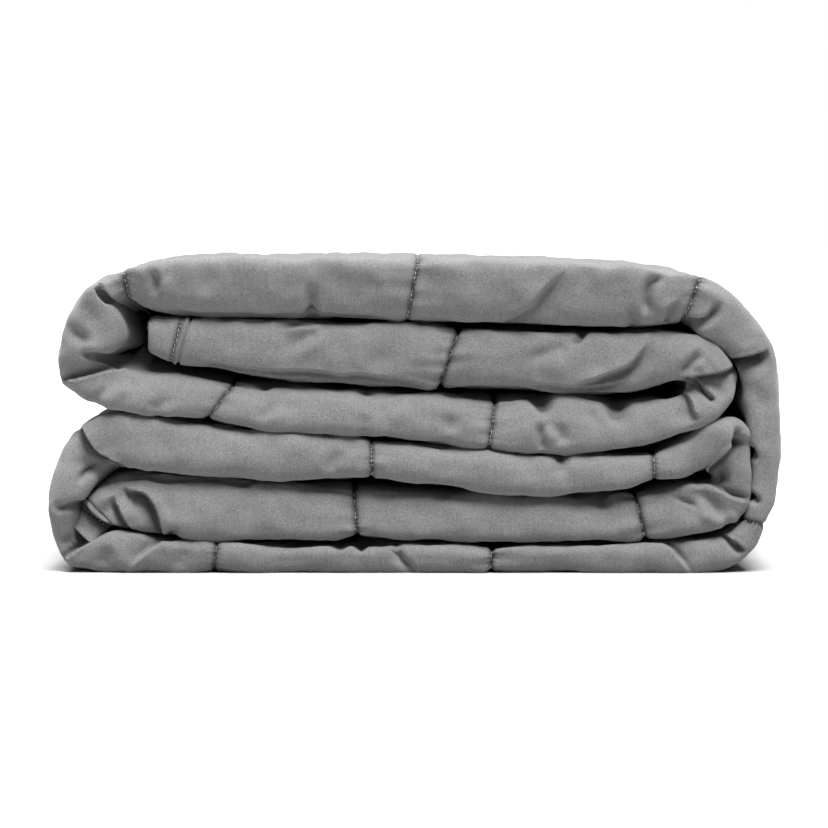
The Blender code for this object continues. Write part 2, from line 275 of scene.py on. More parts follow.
LAYERS: dict[str, Layer] = {
    "B": Layer("end_b", "seam_bc", (
        Crease("b_notch_fold", FOLD, 4.6, 2.2, (
            (-40.5, 113.2), (-51.2, 110.4), (-62.8, 108.6)), ends=(0.1, 0.5)),
        Crease("b_slope_1", TROUGH, 2.2, 3.4, (
            (-43.0, 110.0), (-51.0, 104.5), (-61.0, 99.5)), ends=(0.2, 0.6)),
        Crease("b_slope_ridge", RIDGE, 1.4, 3.4, ((-37.0, 108.0), (-46.0, 101.5), (-56.0, 95.5))),
        Crease("b_slope_2", TROUGH, 1.8, 5.0, ((-5.5, 98.0), (-15.5, 94.5), (-24.0, 90.5))),
        Crease("b_top_notch", TROUGH, 3.8, 1.8, (
            (76.5, 109.5), (73.6, 105.4), (69.0, 102.4)), ends=(0.0, 0.6)),
        Crease("b_top_valley", TROUGH, 2.9, 3.2, (
            (70.5, 103.0), (62.0, 100.0), (54.0, 96.5), (50.0, 92.0)), ends=(0.3, 0.5)),
        Crease("b_diagonal", FOLD, 6.0, 3.0, (
            (70.7, 83.6), (84.7, 88.7), (95.2, 92.8), (99.3, 96.8), (103.4, 102.7),
            (105.0, 105.5)), ends=(0.25, 0.35)),
        Crease("b_diagonal_side", TROUGH, 1.6, 3.0, (
            (104.0, 100.0), (99.0, 93.5), (91.0, 89.0), (80.0, 85.0))),
        Crease("b_tip_crease", TROUGH, 4.6, 2.0, (
            (130.0, 99.8), (125.5, 96.0), (121.5, 92.0), (118.5, 89.2)), ends=(0.4, 0.3)),
        Crease("b_seam_strip", LEDGE, 3.6, 3.0, (
            (-97.5, 95.5), (-84.5, 93.5), (-67.5, 91.0), (-47.0, 91.0), (-33.0, 89.0), (-25.0, 89.5),
            (-7.0, 87.0), (8.5, 84.0)), ends=(0.1, 0.1)),
        Crease("b_low_strip", LEDGE, 3.4, 2.6, (
            (50.0, 84.6), (60.0, 84.8), (70.0, 83.6), (80.0, 83.4), (90.0, 85.2),
            (98.0, 87.2)), ends=(0.15, 0.3)),
    )),
    "BC": Layer("b8", "c2", (
        Crease("bc_cleft", LEDGE, 5.6, 2.8, (
            (118.6, 87.6), (122.5, 88.2), (127.2, 88.9), (138.1, 90.6),
            (146.0, 93.6)), ends=(0.12, 0.0), reach=22.0),
        Crease("bc_crease_1", TROUGH, 5.7, 1.3, (
            (121.5, 87.6), (125.5, 85.0), (129.4, 81.6), (134.9, 76.6)), ends=(0.3, 0.12)),
        Crease("bc_crease_2", TROUGH, 2.1, 2.2, ((134.5, 87.0), (137.5, 83.0), (140.5, 78.0))),
        Crease("bc_crease_3", FOLD, 5.2, 3.0, (
            (121.8, 81.5), (124.6, 77.1), (125.6, 72.8), (127.8, 69.0)), ends=(0.2, 0.3)),
    )),
    "C": Layer("bc3", "ca1", (
        Crease("c_notch_1", TROUGH, 7.0, 4.0, ((55.5, 82.0), (58.2, 75.5), (60.2, 68.5)), ends=(0.0, 0.6)),
        Crease("c_notch_2", TROUGH, 1.6, 3.0, ((80.5, 75.0), (80.0, 70.8), (82.0, 65.0)), ends=(0.4, 0.6)),
        Crease("c_notch_3", TROUGH, 7.0, 4.6, ((92.0, 80.0), (90.6, 72.5), (87.0, 66.5)), ends=(0.0, 0.6)),
        Crease("c_dent", TROUGH, 3.9, 2.2, ((56.0, 68.5), (56.5, 62.0), (57.5, 55.0)), ends=(0.4, 0.05)),
        Crease("c_dent_ridge", RIDGE, 1.6, 2.4, ((59.0, 66.0), (61.5, 61.5), (65.0, 58.0))),
        Crease("c_soft_1", TROUGH, 2.3, 3.0, ((66.0, 68.0), (66.0, 63.0), (67.5, 57.0))),
        Crease("c_gap_1", TROUGH, 2.8, 3.0, ((-66.5, 86.0), (-67.5, 81.5)), ends=(0.0, 0.8)),
        Crease("c_gap_2", TROUGH, 2.8, 3.4, ((-21.0, 83.0), (-22.0, 78.5)), ends=(0.0, 0.8)),
        Crease("c_soft_2", TROUGH, 2.3, 3.0, ((-21.5, 72.0), (-22.0, 67.0), (-22.5, 62.0)), ends=(0.4, 0.1)),
        Crease("c_soft_3", TROUGH, 2.3, 3.6, ((16.0, 72.0), (16.5, 67.0), (17.5, 62.0)), ends=(0.4, 0.5)),
        Crease("c_soft_4", RIDGE, 1.6, 3.6, ((-1.5, 73.5), (-6.5, 70.0), (-10.5, 66.0))),
        Crease("c_left_ridge", RIDGE, 2.2, 3.2, ((-140.5, 74.5), (-132.5, 80.5), (-126.5, 86.0))),
        Crease("c_left_hollow", TROUGH, 3.1, 3.6, (
            (-118.5, 72.5), (-112.0, 76.5), (-105.0, 79.5)), ends=(0.2, 0.5)),
        Crease("c_left_slope", TROUGH, 1.8, 3.4, ((-149.0, 77.5), (-142.5, 80.5), (-136.5, 84.5))),
        Crease("c_after_seam", TROUGH, 2.6, 3.2, ((-60.5, 78.5), (-64.0, 73.5), (-70.5, 67.0))),
        Crease("c_after_seam_ridge", RIDGE, 1.7, 3.0, ((-57.0, 75.5), (-61.0, 71.5), (-66.0, 66.0))),
    )),
    "CA": Layer("c10", "seam_a1", (
        Crease("band_pinch", TROUGH, 5.2, 1.7, (
            (-150.0, 98.8), (-144.8, 97.8), (-139.8, 96.8), (-133.0, 93.8)), ends=(0.25, 0.0)),
        Crease("band_pinch_lobe", RIDGE, 1.6, 3.0, ((-150.0, 103.5), (-144.0, 101.8), (-138.0, 101.5))),
        Crease("band_crease", TROUGH, 4.2, 3.0, (
            (-158.4, 112.0), (-152.2, 107.8), (-147.0, 104.6), (-142.5, 102.8))),
        Crease("band_soft", TROUGH, 2.1, 5.0, ((-146.5, 123.0), (-146.0, 116.5), (-142.0, 109.0))),
        Crease("corner_mitre", LEDGE, 5.2, 2.2, (
            (-122.0, 91.4), (-129.3, 91.6), (-135.5, 90.9), (-143.2, 89.1), (-150.3, 87.3), (-156.4, 86.0),
            (-163.0, 84.4)), ends=(0.3, 0.15), reach=26.0),
        Crease("lip_crease", TROUGH, 4.7, 1.4, (
            (-142.6, 129.6), (-140.6, 126.8), (-138.5, 123.6), (-135.5, 120.6)), ends=(0.15, 0.3)),
    )),
    "A": Layer("ca8", "seam_a3", (
        Crease("a_left_hollow", TROUGH, 4.4, 2.2, (
            (-118.6, 137.5), (-116.3, 132.6), (-115.6, 128.9), (-116.6, 123.5))),
        Crease("a_left_swell", RIDGE, 1.9, 4.0, ((-112.0, 133.5), (-110.5, 128.5), (-112.5, 122.5))),
        Crease("a_seam_strip", LEDGE, 3.4, 3.0, (
            (-111.0, 120.2), (-104.0, 118.7), (-95.0, 117.9), (-75.0, 117.5), (-46.0, 117.2), (-20.0, 116.2),
            (-4.0, 115.4)), ends=(0.12, 0.2)),
        Crease("a_soft_1", TROUGH, 1.3, 4.0, ((-86.0, 137.0), (-92.0, 131.0), (-95.0, 124.0))),
        Crease("a_soft_2", TROUGH, 1.2, 4.0, ((-17.0, 134.0), (-23.0, 127.0), (-26.0, 119.0))),
        Crease("a_dent", TROUGH, 4.6, 2.6, (
            (-46.5, 131.0), (-46.0, 124.5), (-46.0, 114.0)), ends=(0.5, 0.05)),
        Crease("a_diagonal", FOLD, 5.6, 3.6, (
            (33.5, 109.5), (44.0, 114.5), (52.0, 120.5), (57.5, 127.0), (63.5, 133.0),
            (70.0, 138.0)), ends=(0.05, 0.5)),
        Crease("a_broad", TROUGH, 1.6, 6.0, ((83.5, 136.0), (76.0, 132.5), (70.5, 125.0))),
        Crease("a_right_hollow", TROUGH, 5.8, 2.6, (
            (111.6, 135.0), (106.0, 129.5), (104.2, 122.5), (105.0, 115.5)), ends=(0.25, 0.2)),
        Crease("a_right_dent", TROUGH, 3.4, 2.4, (
            (97.0, 120.5), (98.0, 116.0), (99.3, 110.5)), ends=(0.5, 0.1)),
        Crease("a_tuck", FOLD, 5.0, 2.6, (
            (111.9, 112.7), (112.4, 117.4), (114.4, 121.0), (119.5, 123.8)), ends=(0.1, 0.6)),
    )),
    "AF": Layer("a8", "af10", (
        Crease("wrap_crescent", TROUGH, 7.6, 1.9, (
            (119.5, 114.6), (124.0, 112.8), (128.5, 112.6), (132.8, 114.6),
            (135.4, 118.4), (136.3, 122.4)), ends=(0.2, 0.3)),
        Crease("wrap_pinch", LEDGE, 9.0, 1.7, (
            (142.0, 97.0), (146.5, 97.2), (150.1, 97.6), (154.6, 98.6),
            (159.5, 100.8)), ends=(0.05, 0.3), reach=18.0),
        Crease("wrap_pinch_lip", RIDGE, 1.4, 2.8, ((145.0, 100.0), (151.0, 101.5), (157.0, 103.5))),
        Crease("wrap_soft_1", TROUGH, 1.8, 4.5, ((149.0, 86.0), (155.0, 79.0), (162.5, 72.0))),
        Crease("wrap_dimple", TROUGH, 4.7, 2.0, (
            (150.5, 57.0), (152.0, 53.6), (154.5, 50.0)), ends=(0.3, 0.5)),
        Crease("wrap_dimple_2", TROUGH, 4.7, 1.8, (
            (150.5, 35.5), (153.2, 33.0), (156.5, 31.0)), ends=(0.2, 0.5)),
        Crease("f_wrap_crease", LEDGE, 3.8, 1.8, (
            (136.5, 19.4), (140.2, 17.2), (144.6, 13.9), (150.4, 9.8)), ends=(0.1, 0.3)),
    )),
    "F": Layer("af9", "fd2", (
        Crease("f_fold", FOLD, 5.2, 5.0, (
            (-108.0, 16.5), (-111.8, 14.6), (-117.3, 11.1), (-122.8, 6.5), (-128.0, 1.5)), ends=(0.1, 0.5)),
        Crease("f_left_hollow", TROUGH, 2.9, 4.0, ((-135.0, 13.0), (-139.0, 7.0), (-142.5, 0.0))),
        Crease("f_right_hollow", TROUGH, 2.6, 3.4, ((-102.0, 13.0), (-104.2, 7.0), (-105.8, 0.0))),
        Crease("f_mid_crease", TROUGH, 4.7, 2.2, (
            (-8.5, 14.0), (-7.0, 7.5), (-3.5, 3.0), (-0.5, -1.0)), ends=(0.2, 0.1)),
        Crease("f_gap_1", TROUGH, 3.4, 3.2, ((-33.5, 14.0), (-33.0, 9.0)), ends=(0.0, 0.8)),
        Crease("f_gap_2", TROUGH, 3.4, 2.6, ((-24.0, 14.0), (-23.5, 8.0)), ends=(0.0, 0.8)),
        Crease("f_lobe", LEDGE, 4.6, 3.0, (
            (125.0, 0.0), (122.3, 2.8), (118.5, 6.8), (115.2, 10.6),
            (109.7, 13.8), (104.0, 15.0)), ends=(0.5, 0.05), reach=20.0),
    )),
    "FD": Layer("f9", "d1", (
        Crease("f_corner_crease", LEDGE, 6.2, 4.0, (
            (-134.0, 20.8), (-138.5, 19.4), (-143.0, 16.4), (-149.0, 12.2),
            (-154.5, 7.6), (-160.5, 2.5)), ends=(0.2, 0.3), reach=22.0),
        Crease("low_band_knob", TROUGH, 6.2, 1.9, (
            (-147.8, 40.6), (-148.9, 43.2), (-146.4, 45.3), (-141.4, 45.6)), ends=(0.3, 0.3)),
        Crease("low_band_pinch", TROUGH, 4.4, 1.9, (
            (-162.6, 29.2), (-158.5, 29.5), (-155.0, 30.0), (-151.0, 30.8)), ends=(0.4, 0.0)),
        Crease("low_band_soft", TROUGH, 2.6, 3.0, ((-154.2, 51.0), (-146.0, 48.1), (-138.5, 50.2))),
        Crease("low_band_low", TROUGH, 2.6, 2.8, ((-161.5, 11.5), (-156.5, 13.8), (-150.0, 14.8))),
        Crease("low_corner", LEDGE, 6.6, 3.2, (
            (-152.5, 71.5), (-149.4, 65.8), (-148.0, 62.6), (-145.3, 58.0), (-142.1, 54.4), (-136.6, 50.6),
            (-129.3, 47.0), (-122.0, 45.0)), ends=(0.2, 0.2), reach=26.0),
    )),
    "D": Layer("seam_d0", "d11", (
        Crease("d_hollow", TROUGH, 2.6, 3.2, ((-31.0, 56.5), (-36.0, 49.5), (-38.8, 44.0))),
        Crease("d_swell", RIDGE, 1.4, 3.4, ((-28.0, 55.0), (-32.0, 49.0), (-34.0, 44.5))),
        Crease("d_top_notch", TROUGH, 3.9, 3.0, ((66.0, 52.5), (66.0, 48.0), (63.0, 43.0)), ends=(0.0, 0.6)),
    )),
    "DE": Layer("seam_d2", "e2", (
        Crease("de_wing", LEDGE, 6.4, 3.6, (
            (124.0, 40.2), (129.0, 43.6), (133.2, 47.2), (138.1, 52.0),
            (142.5, 56.9), (145.6, 63.0)), ends=(0.42, 0.12), reach=24.0),
        Crease("de_loop", TROUGH, 7.2, 1.7, ((143.0, 56.0), (145.0, 61.0), (145.9, 66.0)), ends=(0.3, 0.3)),
        Crease("de_hollow", TROUGH, 8.0, 3.4, (
            (143.0, 42.6), (139.5, 42.2), (136.5, 43.2), (134.5, 45.0)), ends=(0.5, 0.3)),
        Crease("de_right_band", RIDGE, 1.7, 2.6, ((149.0, 60.0), (149.6, 50.0), (150.2, 38.0))),
        Crease("e_top_edge", LEDGE, 5.3, 4.0, (
            (153.5, 31.6), (149.0, 32.3), (142.5, 33.9), (137.5, 36.8), (132.7, 39.9), (127.2, 41.6),
            (119.0, 41.4)), ends=(0.3, 0.3), reach=22.0),
        Crease("e_thin_crease", LEDGE, 2.2, 1.6, (
            (127.6, 28.4), (123.5, 30.0), (118.5, 32.0), (112.5, 35.0)), ends=(0.2, 0.6)),
        Crease("e_trough", TROUGH, 4.4, 3.2, (
            (123.0, 36.8), (130.0, 34.0), (135.5, 29.6), (139.3, 24.0)), ends=(0.4, 0.3)),
    )),
    "E": Layer("de5", "end_e", (
        Crease("e_seam_strip", LEDGE, 2.8, 4.0, (
            (-46.0, 37.6), (-58.0, 38.4), (-71.0, 39.2), (-75.5, 38.0), (-86.0, 39.5),
            (-94.0, 40.1), (-107.3, 40.2), (-114.5, 40.4), (-120.0, 41.6), (-126.0, 41.4),
            (-134.8, 41.2)), ends=(0.2, 0.2)),
        Crease("e_ridge", RIDGE, 1.7, 2.6, ((127.2, 27.5), (134.9, 23.6), (141.5, 19.8))),
        Crease("e_right_ridge", RIDGE, 1.7, 2.2, ((144.5, 31.0), (143.6, 26.0), (142.6, 21.0))),
        Crease("e_dent", TROUGH, 2.9, 3.4, ((84.5, 36.0), (85.0, 33.0), (84.5, 27.5)), ends=(0.1, 0.6)),
        Crease("e_fold_dark", LEDGE, 6.2, 3.8, (
            (-131.0, 39.9), (-128.3, 37.5), (-124.6, 36.6), (-120.9, 35.3), (-117.3, 31.1), (-114.5, 24.7),
            (-112.4, 15.0)), ends=(0.25, 0.0), reach=20.0),
        Crease("e_fold_ridge", RIDGE, 1.9, 2.2, (
            (-121.0, 37.0), (-115.5, 32.0), (-112.3, 25.5), (-110.4, 18.0))),
        Crease("e_small_fold", LEDGE, 5.1, 3.2, (
            (-135.5, 35.5), (-134.0, 32.0), (-132.7, 29.2), (-131.0, 25.6),
            (-127.5, 20.5), (-122.8, 16.5)), ends=(0.3, 0.0), reach=20.0),
        Crease("e_small_ridge", RIDGE, 1.7, 2.4, ((-132.5, 34.5), (-130.0, 29.5), (-125.5, 22.5))),
        Crease("e_flap", LEDGE, 4.8, 4.0, (
            (-150.4, 34.5), (-147.6, 31.6), (-145.4, 27.6), (-142.1, 24.6),
            (-138.0, 22.6), (-132.0, 21.0)), ends=(0.0, 0.0), reach=20.0),
        Crease("e_corner", TROUGH, 3.4, 2.6, ((-111.5, 14.5), (-109.0, 17.0), (-105.0, 18.5))),
    )),
}


# ----- Curves and noise -----

WAVES = 20
WAVE_SPREAD = (0.7, 1.5)  # shortest and longest wave of a noise, as shares of its wavelength
WAVE_SHARE = 0.6  # keeps nearly all of a noise between -1 and 1


def smooth(edge_0: float, edge_1: float, value: Array) -> Array:
    """Rises smoothly from 0 to 1 between two edges."""
    share = np.clip((value - edge_0) / (edge_1 - edge_0), 0.0, 1.0)
    return share * share * (3.0 - 2.0 * share)


def bell(offset: Array, width: float) -> Array:
    """A round bump of height 1 that is narrow where `width` is small."""
    return np.exp(-((offset / width) ** 2))


def fading(distance: Array, reach: float) -> Array:
    """Falls from 1 with distance, to about a third at `reach`."""
    return np.exp(-distance / reach)


def unit(ways: Array) -> Array:
    """Directions with their lengths made 1."""
    return ways / np.maximum(np.linalg.norm(ways, axis=-1, keepdims=True), TINY)


def passed(points: Array) -> Array:
    """Distance from a line's first point to each of its points."""
    return np.concatenate([[0.0], np.cumsum(np.linalg.norm(np.diff(points, axis=0), axis=1))])


def wave_noise(points: Array, wavelength: float, seed: int) -> Array:
    """Soft even noise made of plane waves in seeded directions.

    Args:
        points: positions, with their coordinates in the last axis.
        wavelength: usual distance between two crests.
        seed: fixes the directions.

    Returns:
        One value for each position, mostly between -1 and 1.
    """
    rng = np.random.default_rng(seed)
    total = np.zeros(points.shape[:-1])
    for _ in range(WAVES):
        way = rng.normal(size=points.shape[-1])
        way *= 2.0 * math.pi / (wavelength * np.linalg.norm(way) * rng.uniform(*WAVE_SPREAD))
        total += np.cos(points @ way + rng.uniform(0.0, 2.0 * math.pi))
    return total * math.sqrt(2.0 / WAVES) * WAVE_SHARE


def catmull_rom(table: Array, at: Array) -> Array:
    """Smooth values between the rows of a table.

    Args:
        table: one row for each knot.
        at: fractional row numbers.

    Returns:
        A row of values for each number in `at`.
    """
    last = len(table) - 1
    row = np.clip(np.floor(at).astype(int), 0, last - 1)
    share = (at - row)[:, None]
    before, start = table[np.maximum(row - 1, 0)], table[row]
    finish, after = table[row + 1], table[np.minimum(row + 2, last)]
    square, cube = share**2, share**3
    return (
        (2 * cube - 3 * square + 1) * start
        + (cube - 2 * square + share) * 0.5 * (finish - before)
        + (3 * square - 2 * cube) * finish
        + (cube - square) * 0.5 * (after - start)
    )


def row_numbers(count: int, steps: int) -> Array:
    """Fractional row numbers of a table of `count` rows, with a number of steps for each row."""
    return np.linspace(0, count - 1, (count - 1) * steps + 1)


def path_offset(path: Array, points: Array) -> tuple[Array, Array]:
    """Where points lie beside a path.

    Args:
        path: the path's points, in order.
        points: the places to measure.

    Returns:
        Distance from the path, positive on its right, and the share of the path passed there.
    """
    reached = passed(path)
    best = np.full(points.shape[:-1], FAR)
    signed, share_of = best.copy(), np.zeros(best.shape)
    for start, run, length, before in zip(path, np.diff(path, axis=0), np.diff(reached), reached):
        share = np.clip(((points - start) @ run) / length**2, 0.0, 1.0)
        gap = points - start - share[..., None] * run
        distance = np.linalg.norm(gap, axis=-1)
        turn = run[0] * gap[..., 1] - run[1] * gap[..., 0]
        closer = distance < best
        best = np.where(closer, distance, best)
        signed = np.where(closer, np.where(turn < 0.0, distance, -distance), signed)
        share_of = np.where(closer, (before + share * length) / reached[-1], share_of)
    return signed, share_of


# ----- The strip and its outline -----


class Rails(NamedTuple):
    """The strip's two sides at a number of stations, in the front view.

    `front_inner` is the inner side at the fold's nose, `recess` is how far the nose lies behind the
    front of the pile, and `lean` is how far its outer lip lies behind its middle.
    """

    outer: Array
    inner: Array
    front_inner: Array
    recess: Array
    lean: Array


@dataclass
class Strip:
    """The folded strip, as a smooth pair of sides read from the section table."""

    steps_per_row: int = 24
    search_step: float = 1.0
    table: Array = field(init=False)
    knots: Array = field(init=False)
    lengths: Array = field(init=False)

    def __post_init__(self) -> None:
        """Works out the distance along the strip of every row."""
        rows = []
        for name, *values in SECTIONS:
            pinch = FRONT_PINCHES.get(name, (values[2], values[3]))
            rows.append([*values, *pinch, self.lean_of(name)])
        self.table = np.array(rows)
        self.knots = row_numbers(len(rows), self.steps_per_row)
        fine = self.read(self.knots)
        self.lengths = passed(0.5 * (fine.outer + fine.inner))

    @staticmethod
    def lean_of(name: str) -> float:
        """Lean of the layer that a row belongs to, from the letters its name starts or ends with."""
        letters = name.rstrip("0123456789").split("_")[-1]
        return LEANS[letters]

    @property
    def length(self) -> float:
        """Length of the whole strip."""
        return float(self.lengths[-1])

    def read(self, at: Array) -> Rails:
        """The strip's sides at fractional row numbers."""
        values = catmull_rom(self.table, at)
        return Rails(values[:, 0:2], values[:, 2:4], values[:, 5:7], values[:, 4], values[:, 7])

    def rails(self, distance: Array) -> Rails:
        """The strip's sides at the given distances."""
        return self.read(np.interp(distance, self.lengths, self.knots))

    def distance_of(self, name: str) -> float:
        """Distance along the strip of a named row."""
        number = next(n for n, row in enumerate(SECTIONS) if row[0] == name)
        return float(self.lengths[number * self.steps_per_row])

    def seams(self) -> list[tuple[float, CrossSeam]]:
        """Distance and kind of each line of stitches across the strip."""
        return [(self.distance_of(seam.row), seam) for seam in CROSS_SEAMS]

    def seam_side(self, place: float) -> float:
        """1 for a place in the strip's second half, and -1 in its first."""
        return 1.0 if place > 0.5 * self.length else -1.0

    def span_of(self, layer: Layer, crease: Crease) -> tuple[float, float]:
        """Where along the strip a crease's path runs.

        Args:
            layer: the layer that the crease is on.
            crease: the crease.

        Returns:
            The first and last distance that the path touches.
        """
        low, high = self.distance_of(layer.first), self.distance_of(layer.last)
        stations = np.arange(low, high, self.search_step)
        rails = self.rails(stations)
        across = rails.outer - rails.front_inner
        found = []
        for point in crease.path:
            way = np.array(point) - rails.front_inner
            share = (way * across).sum(1) / np.maximum((across**2).sum(1), TINY)
            nearest = rails.front_inner + np.clip(share, 0.0, 1.0)[:, None] * across
            found.append(stations[np.argmin(np.linalg.norm(nearest - np.array(point), axis=1))])
        return min(found), max(found)


class Column(NamedTuple):
    """One point of the outline round a layer.

    `across` runs from -1 on the layer's inner side to 1 on its outer side. The next three say how
    closely the point follows the front of the fold, its nose and the back edge, and `offset` is its
    Y from there.
    """

    across: float
    on_front: float = 0.0
    on_nose: float = 0.0
    on_back: float = 0.0
    offset: float = 0.0


@dataclass(frozen=True)
class LayerProfile:
    """The closed outline round one layer: its nose, its outer side, its back edges and its inner side.

    The back has one folded edge on the outer side and two hems. Each hem has a flat flange that
    narrows at its root. `shown` says whether the outer side shows, which then gets more
    points and the seams that run along the strip.
    """

    shown: bool = True
    depth: float = 375.0
    # The nose, and how far back the outer side follows its recess
    nose_power: float = 2.7
    nose_samples: int = 4001
    nose_steps: int = 56
    usual_nose: float = 9.5
    front_felt: float = 45.0
    # Points along the outer side, from the lip to the back
    lip_steps: tuple[float, ...] = (1.0, 2.4, 4.2, 6.5, 9.5, 13.5, 18.5, 25.0, 33.0, 42.0)
    even_from: float = 51.0
    even_step: float = 9.0
    hidden_step: float = 24.0
    back_margin: float = 10.0
    long_seams: tuple[float, ...] = (-90.0, 37.0, 160.0)
    seam_fan: tuple[float, ...] = (-9.0, -5.0, -2.6, -1.2, 0.0, 1.2, 2.6, 5.0, 9.0)
    fan_margin: float = 3.5
    # The folded edge, and the slits between the plies
    ply_gap: float = 0.05
    fold_radius: float = 6.5
    fold_steps: int = 10
    slit: float = 42.0
    slit_mouths: tuple[float, float, float] = (20.0, 24.0, 10.0)
    # The hems: where their flange narrows is a share of its thickness and a distance from its root
    hem_setback: float = 5.0
    flange: float = 13.0
    hem_root: float = 9.0
    hem_waist: tuple[tuple[float, float], ...] = ((0.08, 3.0), (0.24, 0.0), (0.2, -2.5))
    hem_radius: float = 1.8
    hem_steps: int = 5
    # Points along the inner side, from the back, and from there to the nose
    inner_places: tuple[float, ...] = (120.0, 80.0, 40.0, 0.0, -40.0, -75.0, -105.0, -130.0)
    inner_lip_steps: tuple[float, ...] = (34.0, 25.0, 18.0, 12.0, 7.5, 4.0, 1.6)

    @property
    def lip(self) -> float:
        """Y of the outer lip, where the nose begins, on a fold that isn't set back."""
        return -0.5 * self.depth + self.usual_nose

    def nose(self) -> list[Column]:
        """The nose of the fold.

        Returns:
            Evenly spaced points of a squared-off half round, from the inner side to the outer.
        """
        turn = np.linspace(-0.5 * math.pi, 0.5 * math.pi, self.nose_samples)
        power = 2.0 / self.nose_power
        across = np.sign(turn) * np.abs(np.sin(turn)) ** power
        out = np.cos(turn).clip(0.0) ** power
        run = np.concatenate([[0.0], np.cumsum(np.hypot(np.diff(across), np.diff(out)))])
        even = np.linspace(0.0, run[-1], self.nose_steps + 1)
        places = zip(np.interp(even, run, across), np.interp(even, run, out))
        return [Column(place, 1.0, 1.0 - forward) for place, forward in places]

    def outer_side(self) -> list[Column]:
        """The outer side.

        Returns:
            Its points from the lip to the back, close together at the lip and at the long seams.
        """
        end = 0.5 * self.depth - self.back_margin
        fan = [seam + offset for seam in self.long_seams for offset in self.seam_fan if self.shown]
        apart = self.even_step if self.shown else self.hidden_step
        places = {self.lip + step for step in self.lip_steps} | set(fan)
        places.update(np.arange(self.lip + self.even_from, end, apart))
        rows = []
        for place in sorted(place for place in places if place < end):
            if place in fan or all(abs(place - other) > self.fan_margin for other in fan):
                follows = max(0.0, 1.0 - (place - self.lip) / self.front_felt)
                rows.append(Column(1.0, follows, follows, offset=place - follows * self.lip))
        return rows

    @staticmethod
    def rounded(low: float, high: float, setback: float, radius: float, steps: int) -> list[Column]:
        """A rounded edge at the back.

        Args:
            low: place across the layer where it ends.
            high: place across the layer where it begins.
            setback: how far it lies in front of the back edge.
            radius: how far it stands out.
            steps: how many steps it has.

        Returns:
            Its points.
        """
        middle, half = 0.5 * (low + high), 0.5 * (high - low)
        rows = []
        for step in range(steps + 1):
            turn = math.pi * (0.5 - step / steps)
            offset = -setback - radius + radius * math.cos(turn)
            rows.append(Column(middle + half * math.sin(turn), on_back=1.0, offset=offset))
        return rows

    def back_edges(self) -> list[Column]:
        """The folded edge and the two hems.

        Returns:
            Their points, with those of the slits between them.
        """
        def inside(across: float, forward: float) -> Column:
            """A point at a distance in front of the back edge."""
            return Column(across, on_back=1.0, offset=-forward)

        gap, root = self.ply_gap, self.hem_setback + self.flange
        fold_mouth, hem_mouth, last_mouth = self.slit_mouths
        rows = self.rounded(gap, 1.0, 0.0, self.fold_radius, self.fold_steps)
        rows += [inside(0.5 * gap, fold_mouth), inside(0.0, self.slit), inside(-0.5 * gap, hem_mouth)]
        for outer, inner in ((-gap, -0.5 + 0.5 * gap), (-0.5 - 0.5 * gap, -1.0)):
            thick = outer - inner
            drawn = self.hem_waist[-1][0] * thick
            rows.append(inside(outer, root + self.hem_root))
            rows += [inside(outer - share * thick, root + more) for share, more in self.hem_waist]
            rows += self.rounded(
                inner + drawn, outer - drawn, self.hem_setback, self.hem_radius, self.hem_steps
            )
            rows += [
                inside(inner + share * thick, root + more) for share, more in reversed(self.hem_waist)
            ]
            if inner > -1.0:
                rows += [inside(inner, root + last_mouth), inside(-0.5, self.slit)]
        return rows

    def inner_side(self) -> list[Column]:
        """The inner side, from the back to the nose."""
        rows = [Column(-1.0, offset=place) for place in self.inner_places]
        return rows + [Column(-1.0, 1.0, 1.0, offset=step) for step in self.inner_lip_steps]


class Outline:
    """The points of a layer's outline, as one array for each of a column's values."""

    plies_from = 0.98  # further across than this, a point at the back is on the layer's side

    def __init__(self, profile: LayerProfile) -> None:
        """Reads the columns of a profile.

        Args:
            profile: the layer's profile.
        """
        columns = profile.nose() + profile.outer_side() + profile.back_edges() + profile.inner_side()
        self.across, self.on_front, self.on_nose, self.on_back, self.offset = np.array(columns).T
        self.shown = profile.shown
        self.outer = (self.across == 1.0) & (self.on_back == 0.0)
        between_plies = (self.on_back > 0.0) & (np.abs(self.across) < self.plies_from)
        self.lifts = np.where(between_plies, 0.0, 1.0)


# ----- Seams and creases -----


class SeamKind(Enum):
    """What a line of stitches across the strip does to the cloth."""

    QUILTED = "stitched through all the filled plies"
    WELT = "a hem, with a fine welt beside its stitches"


@dataclass(frozen=True)
class CrossSeam:
    """One line of stitches across the strip, on a named row.

    The stitches of some seams are tucked in at the front, where the cloth folds over them.
    """

    row: str
    depth: float
    kind: SeamKind = SeamKind.QUILTED
    tucked_in: bool = False


CROSS_SEAMS: tuple[CrossSeam, ...] = (
    CrossSeam("hem_b", 0.6, SeamKind.WELT),
    CrossSeam("seam_b", 4.6),
    CrossSeam("seam_bc", 1.0, tucked_in=True),
    CrossSeam("seam_c2", 3.0),
    CrossSeam("seam_c1", 2.8),
    CrossSeam("seam_a1", 1.8),
    CrossSeam("seam_a2", 1.5),
    CrossSeam("seam_a3", 1.6),
    CrossSeam("seam_af", 1.8),
    CrossSeam("seam_f1", 3.4),
    CrossSeam("seam_f2", 2.6),
    CrossSeam("seam_d0", 1.0, tucked_in=True),
    CrossSeam("seam_d1", 2.2),
    CrossSeam("seam_d2", 2.0),
    CrossSeam("seam_e1", 3.8),
    CrossSeam("seam_e2", 3.2),
    CrossSeam("hem_e", 0.6, SeamKind.WELT),
)


